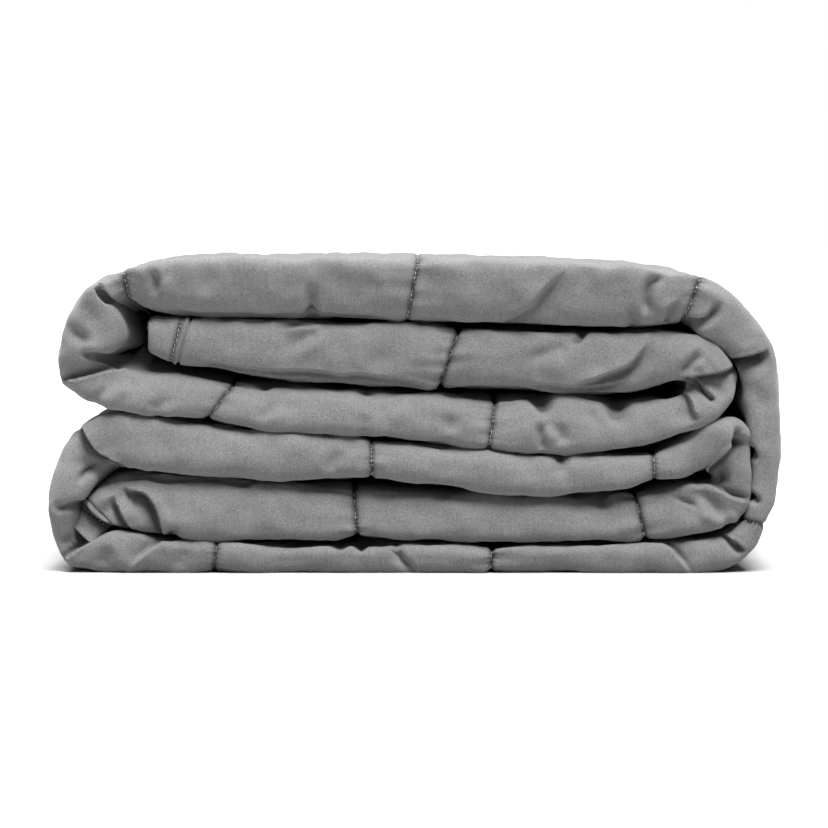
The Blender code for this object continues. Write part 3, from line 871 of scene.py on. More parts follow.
@dataclass(frozen=True)
class Quilting:
    """How the stitches draw the filled cloth in and gather it.

    The groove of a seam has a sharp part at the stitches and a soft shoulder. Its puckers have a
    fine part, with one for each stitch, and a coarse part of uneven gathers.
    """

    felt: float = 40.0
    long_depth: float = 2.4
    sharp: float = 1.1
    soft: float = 4.6
    sharp_share: float = 0.4
    # Shares of the gathers that a very shallow seam across the strip and a long one have
    least_gathers: float = 0.6
    long_gathers: float = 0.6
    pucker: float = 0.4
    pucker_reach: float = 1.7
    pucker_least: float = 0.8
    pucker_sway: float = 0.35
    pucker_drift: float = 0.8
    drift_length: float = 24.0
    gather: float = 0.68
    gather_length: float = 8.0
    gather_reach: float = 7.0
    # The hem's welt, the crease beside it and its line of stitches
    welt: float = 0.7
    welt_width: float = 0.55
    welt_crease: float = 2.0
    welt_crease_at: float = 1.5
    welt_crease_width: float = 0.5
    hem_groove: float = 0.5
    hem_stitches: float = 2.2
    hem_groove_width: float = 0.7
    cross_seed: int = 100
    long_seed: int = 500
    seed_step: int = 7

    def groove(self, away: Array, depth: float) -> Array:
        """Height of the cloth at a distance from a line of stitches of a given depth."""
        sharp = self.sharp_share * bell(away, self.sharp)
        return -depth * (sharp + (1.0 - self.sharp_share) * fading(np.abs(away), self.soft))

    def gathers(self, away: Array, along: Array, seed: int) -> Array:
        """Height of the puckers beside a line of stitches.

        Args:
            away: distance from the line, negative on one of its sides.
            along: distance along the line.
            seed: fixes how uneven they are.

        Returns:
            A height for each point.
        """
        near = np.abs(away)
        drift = wave_noise(along[..., None], self.drift_length, seed)
        beads = np.cos(2.0 * math.pi * along / STITCH_PITCH + self.pucker_drift * drift)
        uneven = self.pucker_least + self.pucker_sway * drift
        total = self.pucker * beads * uneven * fading(near, self.pucker_reach)
        for number, side in enumerate((away < 0, away >= 0)):
            folds = wave_noise(along[..., None], self.gather_length, seed + 1 + number)
            total = total + np.where(side, self.gather * folds * fading(near, self.gather_reach), 0.0)
        return total

    def cross_seam(self, seam: CrossSeam, number: int, away: Array, along: Array) -> Array:
        """Height of the cloth beside a quilted seam across the strip.

        Args:
            seam: the seam.
            number: its place among the seams, which seeds its gathers.
            away: distance from it of each station along the strip.
            along: distance round the layer of each point.

        Returns:
            A height for each point.
        """
        wide = np.broadcast_to(away[:, None], along.shape)
        strength = self.least_gathers + (1.0 - self.least_gathers) * seam.depth / self.long_depth
        gathers = self.gathers(wide, along, self.cross_seed + self.seed_step * number)
        return strength * gathers + self.groove(away, seam.depth)[:, None]

    def long_seam(self, number: int, away: Array, along: Array) -> Array:
        """Height of the cloth beside a seam along the strip, whose number seeds its gathers."""
        gathers = self.gathers(away, along, self.long_seed + self.seed_step * number)
        return self.groove(away, self.long_depth) + self.long_gathers * gathers

    def hem(self, away: Array) -> Array:
        """Height of the cloth beside a hem's welt.

        Args:
            away: distance from the welt, negative towards the free end.

        Returns:
            A height for each distance.
        """
        crease = self.welt_crease * bell(away - self.welt_crease_at, self.welt_crease_width)
        stitches = self.hem_groove * bell(away + self.hem_stitches, self.hem_groove_width)
        return self.welt * (bell(away, self.welt_width) - crease - stitches)


@dataclass(frozen=True)
class CreaseShape:
    """How the height of a crease runs across it, for a crease of depth 1.

    A valley has a faint rim on both sides. A fold or a ledge drops on the right of its path, over a
    short way, to a gutter right beside its edge, and rises again further off. Distances named a
    reach are shares of the crease's own width.
    """

    rim: float = 0.12
    rim_reach: float = 2.6
    gutter: float = 1.1
    gutter_width: float = 2.2
    fold_drop: float = 0.9
    fold_reach: float = 2.0
    fold_gutter: float = 0.5
    fold_lip: float = 0.3
    ledge_drop: float = 0.5
    ledge_reach: float = 3.0
    ledge_edge: float = 0.12
    ledge_edge_width: float = 1.6

    def height(self, crease: Crease, offset: Array) -> Array:
        """Height of one crease.

        Args:
            crease: the crease.
            offset: distance from its path, positive on the path's right.

        Returns:
            A height for each offset.
        """
        width = crease.width
        if crease.form is TROUGH:
            return -crease.depth * (bell(offset, width) - self.rim * bell(offset, self.rim_reach * width))
        if crease.form is RIDGE:
            return crease.depth * bell(offset, width)
        right = np.maximum(offset, 0.0)
        gutter = self.gutter * bell(right, self.gutter_width)
        if crease.form is FOLD:
            side = bell(right, self.fold_reach * width) + self.fold_gutter * gutter
            lip = self.fold_lip * bell(offset, width) * fading(right, 1.0)
            return crease.depth * (lip - (1.0 - fading(right, self.fold_drop)) * side)
        side = bell(right, self.ledge_reach * width) + gutter
        edge = np.where(offset < 0.0, self.ledge_edge * bell(offset, self.ledge_edge_width), 0.0)
        return crease.depth * (edge - (1.0 - fading(right, self.ledge_drop)) * side)


# ----- The cloth -----

# The strip's sides are a wall of short lines, each with a mark: its distance along the strip on the
# outer side, the same raised by INNER_MARK on the inner side, and END_MARK on the two free ends.
INNER_MARK = 1e5
END_MARK = -1e6


class Wall(NamedTuple):
    """The short lines that the strip's sides are made of, with their marks."""

    start: Array
    end: Array
    mark: Array


@dataclass
class Settling:
    """How much each side of the strip swells behind the front folds, to lie on its neighbour.

    The layers stand a little apart at the front and touch further back. `grow_outer` and
    `grow_inner` hold, for distances along the strip, how far each side moves. A side that faces its
    neighbour aslant, from `slant` to `square`, swells less.
    """

    strip: Strip
    clearance: float = 0.5
    most: float = 6.0
    most_at_end: float = 15.0
    furthest: float = 60.0
    step: float = 1.5
    near_part: float = 7.0
    softness: float = 5.0
    overshoot: float = 0.5
    top_sinks: float = 0.8
    slant: float = 0.72
    square: float = 0.95
    distance: Array = field(init=False)
    grow_outer: Array = field(init=False)
    grow_inner: Array = field(init=False)

    def __post_init__(self) -> None:
        """Finds the gap beside every part of the strip."""
        self.distance = np.arange(0.0, self.strip.length, self.step)
        rails = self.strip.rails(self.distance)
        on_inner = self.distance + INNER_MARK
        wall = Wall(
            np.concatenate([rails.outer[:-1], rails.inner[:-1], rails.outer[[0, -1]]]),
            np.concatenate([rails.outer[1:], rails.inner[1:], rails.inner[[0, -1]]]),
            np.concatenate([self.distance[:-1], on_inner[:-1], [END_MARK, END_MARK]]),
        )
        across = unit(rails.outer - rails.inner)
        self.grow_outer = self.growth(rails.outer, across, self.distance, wall)
        self.grow_inner = self.growth(rails.inner, -across, on_inner, wall)

    def growth(self, points: Array, ways: Array, marks: Array, wall: Wall) -> Array:
        """How far one side swells.

        Args:
            points: places on the side, in the front view.
            ways: direction away from the strip at each of them.
            marks: their marks.
            wall: what the side can meet.

        Returns:
            A growth for each place.
        """
        result = np.array([self.room(*place, wall) for place in zip(points, ways, marks)])
        width = int(3 * self.softness / self.step)
        kernel = bell(np.arange(-width, width + 1) * self.step, self.softness)
        smoothed = np.convolve(np.pad(result, width, mode="edge"), kernel / kernel.sum(), mode="valid")
        return np.minimum(smoothed, result + self.overshoot)

    def room(self, point: Array, way: Array, mark: float, wall: Wall) -> float:
        """How far one place on a side can swell.

        Args:
            point: the place.
            way: direction away from the strip.
            mark: the place's mark.
            wall: what the side can meet.

        Returns:
            A distance, which is below 0 on top of the pile.
        """
        run, gap = wall.end - wall.start, wall.start - point
        cross = way[0] * run[:, 1] - way[1] * run[:, 0]
        safe = np.where(np.abs(cross) < TINY, TINY, cross)
        reach = (gap[:, 0] * run[:, 1] - gap[:, 1] * run[:, 0]) / safe
        share = (gap[:, 0] * way[1] - gap[:, 1] * way[0]) / safe
        hit = (share >= 0.0) & (share <= 1.0) & (reach > 0.0)
        hit &= np.abs(wall.mark - mark) > self.near_part
        if not hit.any():
            return -self.top_sinks * max(way[1], 0.0)
        nearest = np.argmin(np.where(hit, reach, FAR))
        if wall.mark[nearest] == END_MARK:
            return min(max(reach[nearest] - 2.0 * self.clearance, 0.0), self.most_at_end)
        if reach[nearest] >= self.furthest:
            return 0.0
        facing = abs(cross[nearest]) / np.linalg.norm(run[nearest])
        swell = min(max(0.5 * reach[nearest] - self.clearance, 0.0), self.most)
        return swell * smooth(self.slant, self.square, facing)


class Swell(NamedTuple):
    """Soft unevenness of the filling: the usual distance between its crests, its size and its seed."""

    wavelength: float
    size: float
    seed: int


@dataclass(frozen=True)
class Spacing:
    """How far apart the stations along the strip are, and where they draw closer together.

    Sharp creases and those narrower than `fine_width` get closer stations, and so do seams, welts
    and the free ends. Beside a crease these reach as far as some of its widths, and a little more.
    """

    samples: int = 5  # for each millimetre, when the stations are placed
    plain: float = 1.8
    crease: float = 0.8
    fine_width: float = 3.0
    crease_widths: float = 2.0
    crease_more: float = 1.0
    seam: float = 0.42
    welt: float = 0.4
    seam_widens: float = 1.3
    seam_near: float = 1.5
    seam_far: float = 12.0
    end: float = 0.3
    end_widens: float = 0.12


class Blank(NamedTuple):
    """One length of the strip before its relief, as a grid of points.

    `behind` is how far a point lies behind the nose of its fold, and `arc` its distance round the
    layer.
    """

    outline: Outline
    distance: Array
    points: Array
    behind: Array
    arc: Array


class Surface(NamedTuple):
    """One finished length of the strip, with what stitches and materials need.

    `beside` is a point's distance from the nearest line of stitches, and `along` that along it.
    """

    points: Array
    normals: Array
    distance: Array
    arc: Array
    beside: Array
    along: Array


@dataclass
class QuiltedStrip:
    """The filled and quilted strip: its sides, its outline round a layer and its relief."""

    strip: Strip = field(default_factory=Strip)
    quilting: Quilting = field(default_factory=Quilting)
    crease_shape: CreaseShape = field(default_factory=CreaseShape)
    spacing: Spacing = field(default_factory=Spacing)
    profile: LayerProfile = field(default_factory=LayerProfile)
    settling: Settling = field(init=False)
    # The front fold. Its nose on a thin layer is a share of the thickness, and a distance more
    thin_nose: tuple[float, float] = (0.4, 2.0)
    pinch_reach: float = 22.0
    settle_from: float = 6.0
    settle_to: float = 75.0
    end_radius: float = 1.6
    front_share: float = 0.6
    # The back edges wander
    back_wander: float = 2.5
    wander_length: float = 61.0
    # Relief
    swells: tuple[Swell, ...] = (
        Swell(60.0, 0.9, 11), Swell(24.0, 0.75, 12), Swell(11.0, 0.34, 13), Swell(5.5, 0.09, 14)
    )
    hidden_swell: float = 0.35
    swell_reach: float = 40.0
    slope_spread: int = 2
    # Where creases fade out: off their path, at their layer's ends, beyond their own and at the floor
    path_steps: int = 4
    crease_margin: tuple[float, float] = (4.0, 16.0)
    layer_fade: float = 4.0
    beyond_ends: float = -0.02
    least_end: float = 0.001
    below_floor: float = -1.5
    above_floor: float = 3.5

    def __post_init__(self) -> None:
        """Finds how the layers settle on each other."""
        self.settling = Settling(self.strip)

    def stations(self, low: float, high: float) -> Array:
        """Where the cloth gets a row of points.

        Args:
            low: distance along the strip where it begins.
            high: distance where it ends.

        Returns:
            Distances along the strip, closest together where the cloth has most detail.
        """
        usual = self.spacing
        places = np.linspace(low, high, int((high - low) * usual.samples) + 2)
        spacing = np.full(places.shape, usual.plain)
        for layer in LAYERS.values():
            for crease in layer.creases:
                if crease.width >= usual.fine_width and not crease.sharp:
                    continue
                first, last = self.strip.span_of(layer, crease)
                margin = usual.crease_widths * crease.width + usual.crease_more
                inside = (places > first - margin) & (places < last + margin)
                spacing[inside] = np.minimum(spacing[inside], usual.crease)
        for place, seam in self.strip.seams():
            tight = usual.welt if seam.kind is SeamKind.WELT else usual.seam
            away = smooth(usual.seam_near, usual.seam_far, np.abs(places - place))
            spacing = np.minimum(spacing, tight + usual.seam_widens * away)
        for end in (0.0, self.strip.length):
            spacing = np.minimum(spacing, usual.end + usual.end_widens * np.abs(places - end))
        count = np.concatenate([[0.0], np.cumsum(np.diff(places) / spacing[1:])])
        return np.interp(np.linspace(0.0, count[-1], int(count[-1]) + 2), count, places)

    def blank(self, distance: Array, outline: Outline) -> Blank:
        """The strip without its relief.

        Args:
            distance: where along the strip each row of points lies.
            outline: the columns round a layer.

        Returns:
            The points, and what is measured on them.
        """
        rails = self.strip.rails(distance)
        closing = self.closing(distance)
        half_depth = 0.5 * self.profile.depth
        share, least = self.thin_nose
        thickness = np.linalg.norm(rails.outer - rails.inner, axis=1)
        nose = np.minimum(share * thickness + least, self.profile.usual_nose)[:, None]
        front = (rails.recess - half_depth)[:, None] + closing + rails.lean[:, None] * outline.across
        back = half_depth + self.back_wander * (np.sin(distance / self.wander_length) - 1.0)[:, None]
        y = outline.on_front * front + outline.on_nose * nose + outline.on_back * back + outline.offset
        behind = y - front
        pinched = bell(behind, self.pinch_reach)[..., None]
        inner = rails.inner[:, None] * (1.0 - pinched) + rails.front_inner[:, None] * pinched
        outer = np.broadcast_to(rails.outer[:, None], inner.shape)
        across = outer - inner
        settled = smooth(self.settle_from, self.settle_to, behind)
        moved = np.zeros(behind.shape)
        for side, grow in ((1.0, self.settling.grow_outer), (-1.0, self.settling.grow_inner)):
            reach = settled * np.interp(distance, self.settling.distance, grow)[:, None] - closing
            moved += side * np.maximum(side * outline.across, 0.0) * reach
        flat = 0.5 * (outer + inner) + 0.5 * across * outline.across[:, None]
        flat = flat + unit(across) * moved[..., None]
        points = np.stack([flat[..., 0], y, flat[..., 1]], axis=-1)
        return Blank(outline, distance, points, behind, self.arc_of(points))

    def closing(self, distance: Array) -> Array:
        """How far the strip's sides draw in at a free end, to round it off.

        Args:
            distance: where along the strip.

        Returns:
            A column of distances.
        """
        from_end = np.minimum(distance, self.strip.length - distance)
        turn = np.clip(from_end / self.end_radius, 0.0, 1.0)
        return self.end_radius * (1.0 - np.sqrt(np.maximum(1.0 - (1.0 - turn) ** 2, 0.0)))[:, None]

    @staticmethod
    def normals_of(points: Array, spread: int = 1) -> Array:
        """Outward normals of a grid of points that is closed round its rows.

        Args:
            points: the grid.
            spread: how many columns and rows away the slopes are read from.

        Returns:
            A unit vector for each point.
        """
        rows = np.arange(len(points))
        ahead = points[np.minimum(rows + spread, rows[-1])]
        behind = points[np.maximum(rows - spread, 0)]
        round_it = np.roll(points, -spread, axis=1) - np.roll(points, spread, axis=1)
        return unit(np.cross(ahead - behind, round_it))

    @staticmethod
    def arc_of(points: Array) -> Array:
        """Distance round the outline of each point."""
        steps = np.linalg.norm(np.diff(points, axis=1), axis=-1)
        return np.concatenate([np.zeros((len(points), 1)), np.cumsum(steps, axis=1)], axis=1)

    def quilted_height(self, blank: Blank) -> Array:
        """Heights of the grooves, puckers and welts that the stitches make.

        Args:
            blank: the cloth before its relief.

        Returns:
            A height for each point.
        """
        height = np.zeros(blank.arc.shape)
        for number, (place, seam) in enumerate(self.strip.seams()):
            away = blank.distance - place
            close = np.abs(away) < self.quilting.felt
            if seam.kind is SeamKind.WELT:
                inwards = -self.strip.seam_side(place) * away[close]
                height[close] += self.quilting.hem(inwards)[:, None]
            elif close.any():
                height[close] += self.quilting.cross_seam(seam, number, away[close], blank.arc[close])
        if blank.outline.shown:
            run = np.broadcast_to(blank.distance[:, None], height.shape)
            for number, place in enumerate(self.profile.long_seams):
                away = blank.points[..., 1] - place
                close = blank.outline.outer & (np.abs(away) < self.quilting.felt)
                height += np.where(close, self.quilting.long_seam(number, away, run), 0.0)
        return height

    def creases(self, blank: Blank) -> tuple[Array, Array]:
        """What the creases drawn on the front of the pile do to it.

        Args:
            blank: the cloth before its relief.

        Returns:
            The height of the soft valleys and crests, and how far folds and ledges stand forward.
        """
        distance, front = blank.distance, blank.points[..., [0, 2]]
        height, forward = np.zeros(blank.arc.shape), np.zeros(blank.arc.shape)
        widths, more = self.crease_margin
        for layer in LAYERS.values():
            low, high = self.strip.distance_of(layer.first), self.strip.distance_of(layer.last)
            for crease in layer.creases:
                first, last = self.strip.span_of(layer, crease)
                margin = widths * crease.width + more
                inside = (distance >= max(low, first - margin)) & (distance <= min(high, last + margin))
                if not inside.any():
                    continue
                table = np.array(crease.path)
                path = catmull_rom(table, row_numbers(len(table), self.path_steps))
                offset, share = path_offset(path, front[inside])
                start, finish = (max(end, self.least_end) for end in crease.ends)
                fade = bell(np.maximum(blank.behind[inside], 0.0), crease.reach)
                for way in (distance[inside] - low, high - distance[inside]):
                    fade *= smooth(0.0, self.layer_fade, way)[:, None]
                fade *= smooth(self.beyond_ends, start, share)
                fade *= smooth(self.beyond_ends, finish, 1.0 - share)
                fade *= smooth(self.below_floor, self.above_floor, front[inside][..., 1])
                moved = forward if crease.sharp else height
                moved[inside] += self.crease_shape.height(crease, offset) * fade
        return height, forward

    def surface(self, low: float, high: float, outline: Outline) -> Surface:
        """The finished cloth of one piece.

        Args:
            low: distance along the strip where it begins.
            high: distance where it ends.
            outline: the columns round a layer.

        Returns:
            The cloth's points, and what is worked out from them.
        """
        blank = self.blank(self.stations(low, high), outline)
        height, (creased, forward) = self.quilted_height(blank), self.creases(blank)
        height += creased
        at_front = self.hidden_swell + (1.0 - self.hidden_swell) * bell(blank.behind, self.swell_reach)
        level = np.where(outline.outer & outline.shown, 1.0, at_front)
        for swell in self.swells:
            height += swell.size * wave_noise(blank.points, swell.wavelength, swell.seed) * level
        raised = (height * outline.lifts)[..., None]
        points = blank.points + self.normals_of(blank.points, self.slope_spread) * raised
        points[..., 1] -= forward * outline.lifts
        points[..., 2] = np.maximum(points[..., 2], 0.0)
        stitched = self.nearest_seam(blank)
        return Surface(points, self.normals_of(points), blank.distance, self.arc_of(points), *stitched)

    def nearest_seam(self, blank: Blank) -> tuple[Array, Array]:
        """Where every point lies beside the nearest line of stitches.

        Args:
            blank: the cloth before its relief.

        Returns:
            Distance from the line, and distance along it.
        """
        distance, outline, seams = blank.distance[:, None], blank.outline, self.strip.seams()

        def nearest(seams: list[tuple[float, CrossSeam]]) -> Array:
            """Distance of each station from the nearest of some seams, as a column."""
            gaps = np.abs(distance - np.array([self.stitched_at(*seam) for seam in seams]))
            return gaps.min(axis=1)[:, None]

        at_front = nearest([seam for seam in seams if not seam[1].tucked_in])
        beside = np.where(outline.on_front > self.front_share, at_front, nearest(seams))
        along = blank.arc
        for place in self.profile.long_seams if outline.shown else ():
            away = np.abs(blank.points[..., 1] - place)
            closer = outline.outer & (away < beside)
            beside = np.where(closer, away, beside)
            along = np.where(closer, distance, along)
        return beside, along

    def stitched_at(self, place: float, seam: CrossSeam) -> float:
        """Where the stitches of a seam lie: on its row, and on a hem further towards the free end.

        Args:
            place: distance along the strip of the seam's row.
            seam: the seam.

        Returns:
            Distance along the strip of its stitches.
        """
        if seam.kind is SeamKind.QUILTED:
            return place
        return place + self.strip.seam_side(place) * self.quilting.hem_stitches


# ----- Finishes -----

Colour = tuple[float, float, float]
Socket = bpy.types.NodeSocket
Sockets = bpy.types.bpy_prop_collection


class TreeKind(Enum):
    """Kinds of node tree."""

    SHADER = "ShaderNodeTree"
    GEOMETRY = "GeometryNodeTree"


class SocketKind(Enum):
    """Kinds of input and output of a node group."""

    FLOAT = "NodeSocketFloat"
    INT = "NodeSocketInt"
    VECTOR = "NodeSocketVector"
    GEOMETRY = "NodeSocketGeometry"


class NodeGraph:
    """Adds and joins the nodes of one tree."""

    def __init__(self, tree: bpy.types.NodeTree) -> None:
        """Starts on an empty tree."""
        self.tree = tree
        tree.nodes.clear()

    @classmethod
    def group(
        cls, name: str, kind: TreeKind, inputs: dict[str, SocketKind], outputs: dict[str, SocketKind]
    ) -> NodeGraph:
        """Makes an empty node group.

        Args:
            name: its name.
            kind: the kind of its tree.
            inputs: the kind of each input, by its name.
            outputs: the kind of each output, by its name.

        Returns:
            The graph of its tree.
        """
        tree = bpy.data.node_groups.new(name, kind.value)
        for in_out, sockets in (("INPUT", inputs), ("OUTPUT", outputs)):
            for socket, value in sockets.items():
                tree.interface.new_socket(socket, in_out=in_out, socket_type=value.value)
        return cls(tree)

    def add(
        self, kind: str, inputs: dict[str | int, object] | None = None, **settings: object
    ) -> bpy.types.Node:
        """Adds a node.

        Args:
            kind: the node's type name.
            inputs: a value, or a socket to link from, for each input.
            settings: the node's own settings.

        Returns:
            The new node.
        """
        node = self.tree.nodes.new(kind)
        for name, value in settings.items():
            setattr(node, name, value)
        for key, value in (inputs or {}).items():
            socket = node.inputs[key]
            if isinstance(value, Socket):
                self.tree.links.new(value, socket)
            else:
                socket.default_value = value
        return node

    def maths(self, operation: str, *values: object) -> Socket:
        """Adds a Math node and returns its result."""
        return self.add("ShaderNodeMath", dict(enumerate(values)), operation=operation).outputs[0]

    def vector(self, operation: str, *values: object) -> Socket:
        """Adds a Vector Math node and returns its vector."""
        inputs = dict(enumerate(values))
        return self.add("ShaderNodeVectorMath", inputs, operation=operation).outputs[0]

    def noise(self, at: Socket, scale: float, detail: float) -> Sockets:
        """Adds a Noise Texture and returns its outputs."""
        return self.add("ShaderNodeTexNoise", {"Vector": at, "Scale": scale, "Detail": detail}).outputs


@dataclass(frozen=True)
class Effect:
    """A shader node group that is built on first use and then shared."""

    name: str = "effect"
    inputs: tuple[tuple[str, SocketKind], ...] = ()
    outputs: tuple[str, ...] = ()

    def tree(self) -> bpy.types.NodeTree:
        """The effect's node group.

        Returns:
            A group with the effect's inputs, and a plain number for each of its outputs.
        """
        found = bpy.data.node_groups.get(self.name)
        if found:
            return found
        outputs = {name: SocketKind.FLOAT for name in self.outputs}
        graph = NodeGraph.group(self.name, TreeKind.SHADER, dict(self.inputs), outputs)
        results = self.results(graph, graph.add("NodeGroupInput").outputs)
        graph.add("NodeGroupOutput", dict(zip(self.outputs, results)))
        return graph.tree

    def results(self, graph: NodeGraph, start: Sockets) -> tuple[Socket, ...]:
        """Builds the nodes between the inputs and the outputs, and returns what each output gives."""
        raise NotImplementedError


@dataclass(frozen=True)
class PlainWeave(Effect):
    """A plain weave of uneven spun threads.

    It takes the cloth's own coordinates in metres and the number of threads in a metre, and gives
    the height of the threads and how light each of them is.
    """

    name: str = "plain_weave"
    inputs: tuple[tuple[str, SocketKind], ...] = (
        ("Cloth", SocketKind.VECTOR), ("Threads per Metre", SocketKind.FLOAT)
    )
    outputs: tuple[str, ...] = ("Height", "Lightness")
    wobble_scale: float = 0.35
    wobble: float = 0.9
    under_and_over: float = 0.35
    slub_stretch: float = 0.05
    slub_scale: float = 0.55
    slub_height: float = 0.9

    def results(self, graph: NodeGraph, start: Sockets) -> tuple[Socket, ...]:
        """The threads' height and lightness.

        Args:
            graph: the graph to build in.
            start: the group's inputs.

        Returns:
            What goes to the outputs.
        """
        threads = graph.vector("SCALE", start["Cloth"])
        graph.tree.links.new(start["Threads per Metre"], threads.node.inputs["Scale"])
        swaying = graph.vector(
            "SUBTRACT", graph.noise(threads, self.wobble_scale, 2.0)["Color"], (0.5, 0.5, 0.5)
        )
        eased = graph.vector("MULTIPLY_ADD", swaying, (self.wobble, self.wobble, 0.0), threads)
        axes = graph.add("ShaderNodeSeparateXYZ", {0: eased}).outputs
        heights = []
        for over, under in ((axes[0], axes[1]), (axes[1], axes[0])):
            crown = graph.maths("ABSOLUTE", graph.maths("SINE", graph.maths("MULTIPLY", over, math.pi)))
            crossing = graph.maths("ADD", graph.maths("FLOOR", over), under)
            rise = graph.maths("SINE", graph.maths("MULTIPLY", crossing, math.pi))
            heights.append(graph.maths("MULTIPLY_ADD", rise, self.under_and_over, crown))
        slubs = []
        for stretch in ((self.slub_stretch, 1.0, 1.0), (1.0, self.slub_stretch, 1.0)):
            drawn = graph.vector("MULTIPLY", threads, stretch)
            slubs.append(graph.noise(drawn, self.slub_scale, 3.0)["Fac"])
        lightness = graph.maths("MULTIPLY", graph.maths("ADD", *slubs), 0.5)
        height = graph.maths("MAXIMUM", *heights)
        return graph.maths("MULTIPLY_ADD", lightness, self.slub_height, height), lightness


@dataclass(frozen=True)
class PaintedSeamShade(Effect):
    """Painted shade in the groove and the needle holes of a line of stitches.

    It takes the distance from the stitches and along them in metres, and gives how deep in the seam
    a point is, from 0 to 1: a dark dotted line at the stitches and a soft band beside them, which set
    the painted shade and the dip of the seam's relief.
    """

    name: str = "painted_seam_shade"
    inputs: tuple[tuple[str, SocketKind], ...] = (
        ("Seam", SocketKind.VECTOR), ("Stitch Pitch", SocketKind.FLOAT),
        ("Line Width", SocketKind.FLOAT), ("Shade Width", SocketKind.FLOAT),
    )
    outputs: tuple[str, ...] = ("Depth",)
    sway_scale: float = 900.0
    sway: float = 0.001
    sharpness: float = 4.0
    # Strengths of the soft band of painted shade, of the painted dark dots at the needle holes and of the
    # painted line under them
    shade: float = 0.42
    dot_shade: float = 0.5
    line: float = 0.46

    def results(self, graph: NodeGraph, start: Sockets) -> tuple[Socket, ...]:
        """How deep in the seam a point is, which sets how dark its painted shade is.

        Args:
            graph: the graph to build in.
            start: the group's inputs.

        Returns:
            What goes to the output.
        """
        axes = graph.add("ShaderNodeSeparateXYZ", {0: start["Seam"]}).outputs
        swaying = graph.maths("SUBTRACT", graph.noise(start["Seam"], self.sway_scale, 1.0)["Fac"], 0.5)
        aside = graph.maths("MULTIPLY_ADD", swaying, self.sway, axes[0])

        def over_line(width: str) -> Socket:
            """A smooth bump over the line, as wide as a named input says."""
            ratio = graph.maths("DIVIDE", aside, start[width])
            return graph.maths(
                "EXPONENT", graph.maths("MULTIPLY", graph.maths("MULTIPLY", ratio, ratio), -1.0)
            )

        # Painted dark dots at the needle holes, one for each stitch, on a painted dark line
        turns = graph.maths("DIVIDE", axes[1], start["Stitch Pitch"])
        beat = graph.maths("ABSOLUTE", graph.maths("COSINE", graph.maths("MULTIPLY", turns, math.pi)))
        painted_groove_shade = graph.maths("POWER", beat, self.sharpness)
        dotted = graph.maths("MULTIPLY_ADD", painted_groove_shade, self.dot_shade, self.line)
        dotted = graph.maths("MULTIPLY", over_line("Line Width"), dotted)
        # A wider soft band of painted shade beside the stitches
        shaded = graph.maths("MULTIPLY", over_line("Shade Width"), self.shade)
        return (graph.maths("MINIMUM", graph.maths("ADD", dotted, shaded), 1.0),)


@dataclass(frozen=True)
class Finish:
    """A finish, whose material is built on first use."""

    name: str = "finish"

    def material(self) -> bpy.types.Material:
        """The finish's material.

        Returns:
            The one that is there, or a new one.
        """
        found = bpy.data.materials.get(self.name)
        if found:
            return found
        material = bpy.data.materials.new(self.name)
        material.use_nodes = True
        graph = NodeGraph(material.node_tree)
        shader = graph.add("ShaderNodeBsdfPrincipled", self.surface(graph))
        graph.add("ShaderNodeOutputMaterial", {"Surface": shader.outputs[0]})
        return material

    def surface(self, graph: NodeGraph) -> dict[str | int, object]:
        """Builds what feeds the shader, and returns a value or a socket for each of its inputs."""
        raise NotImplementedError


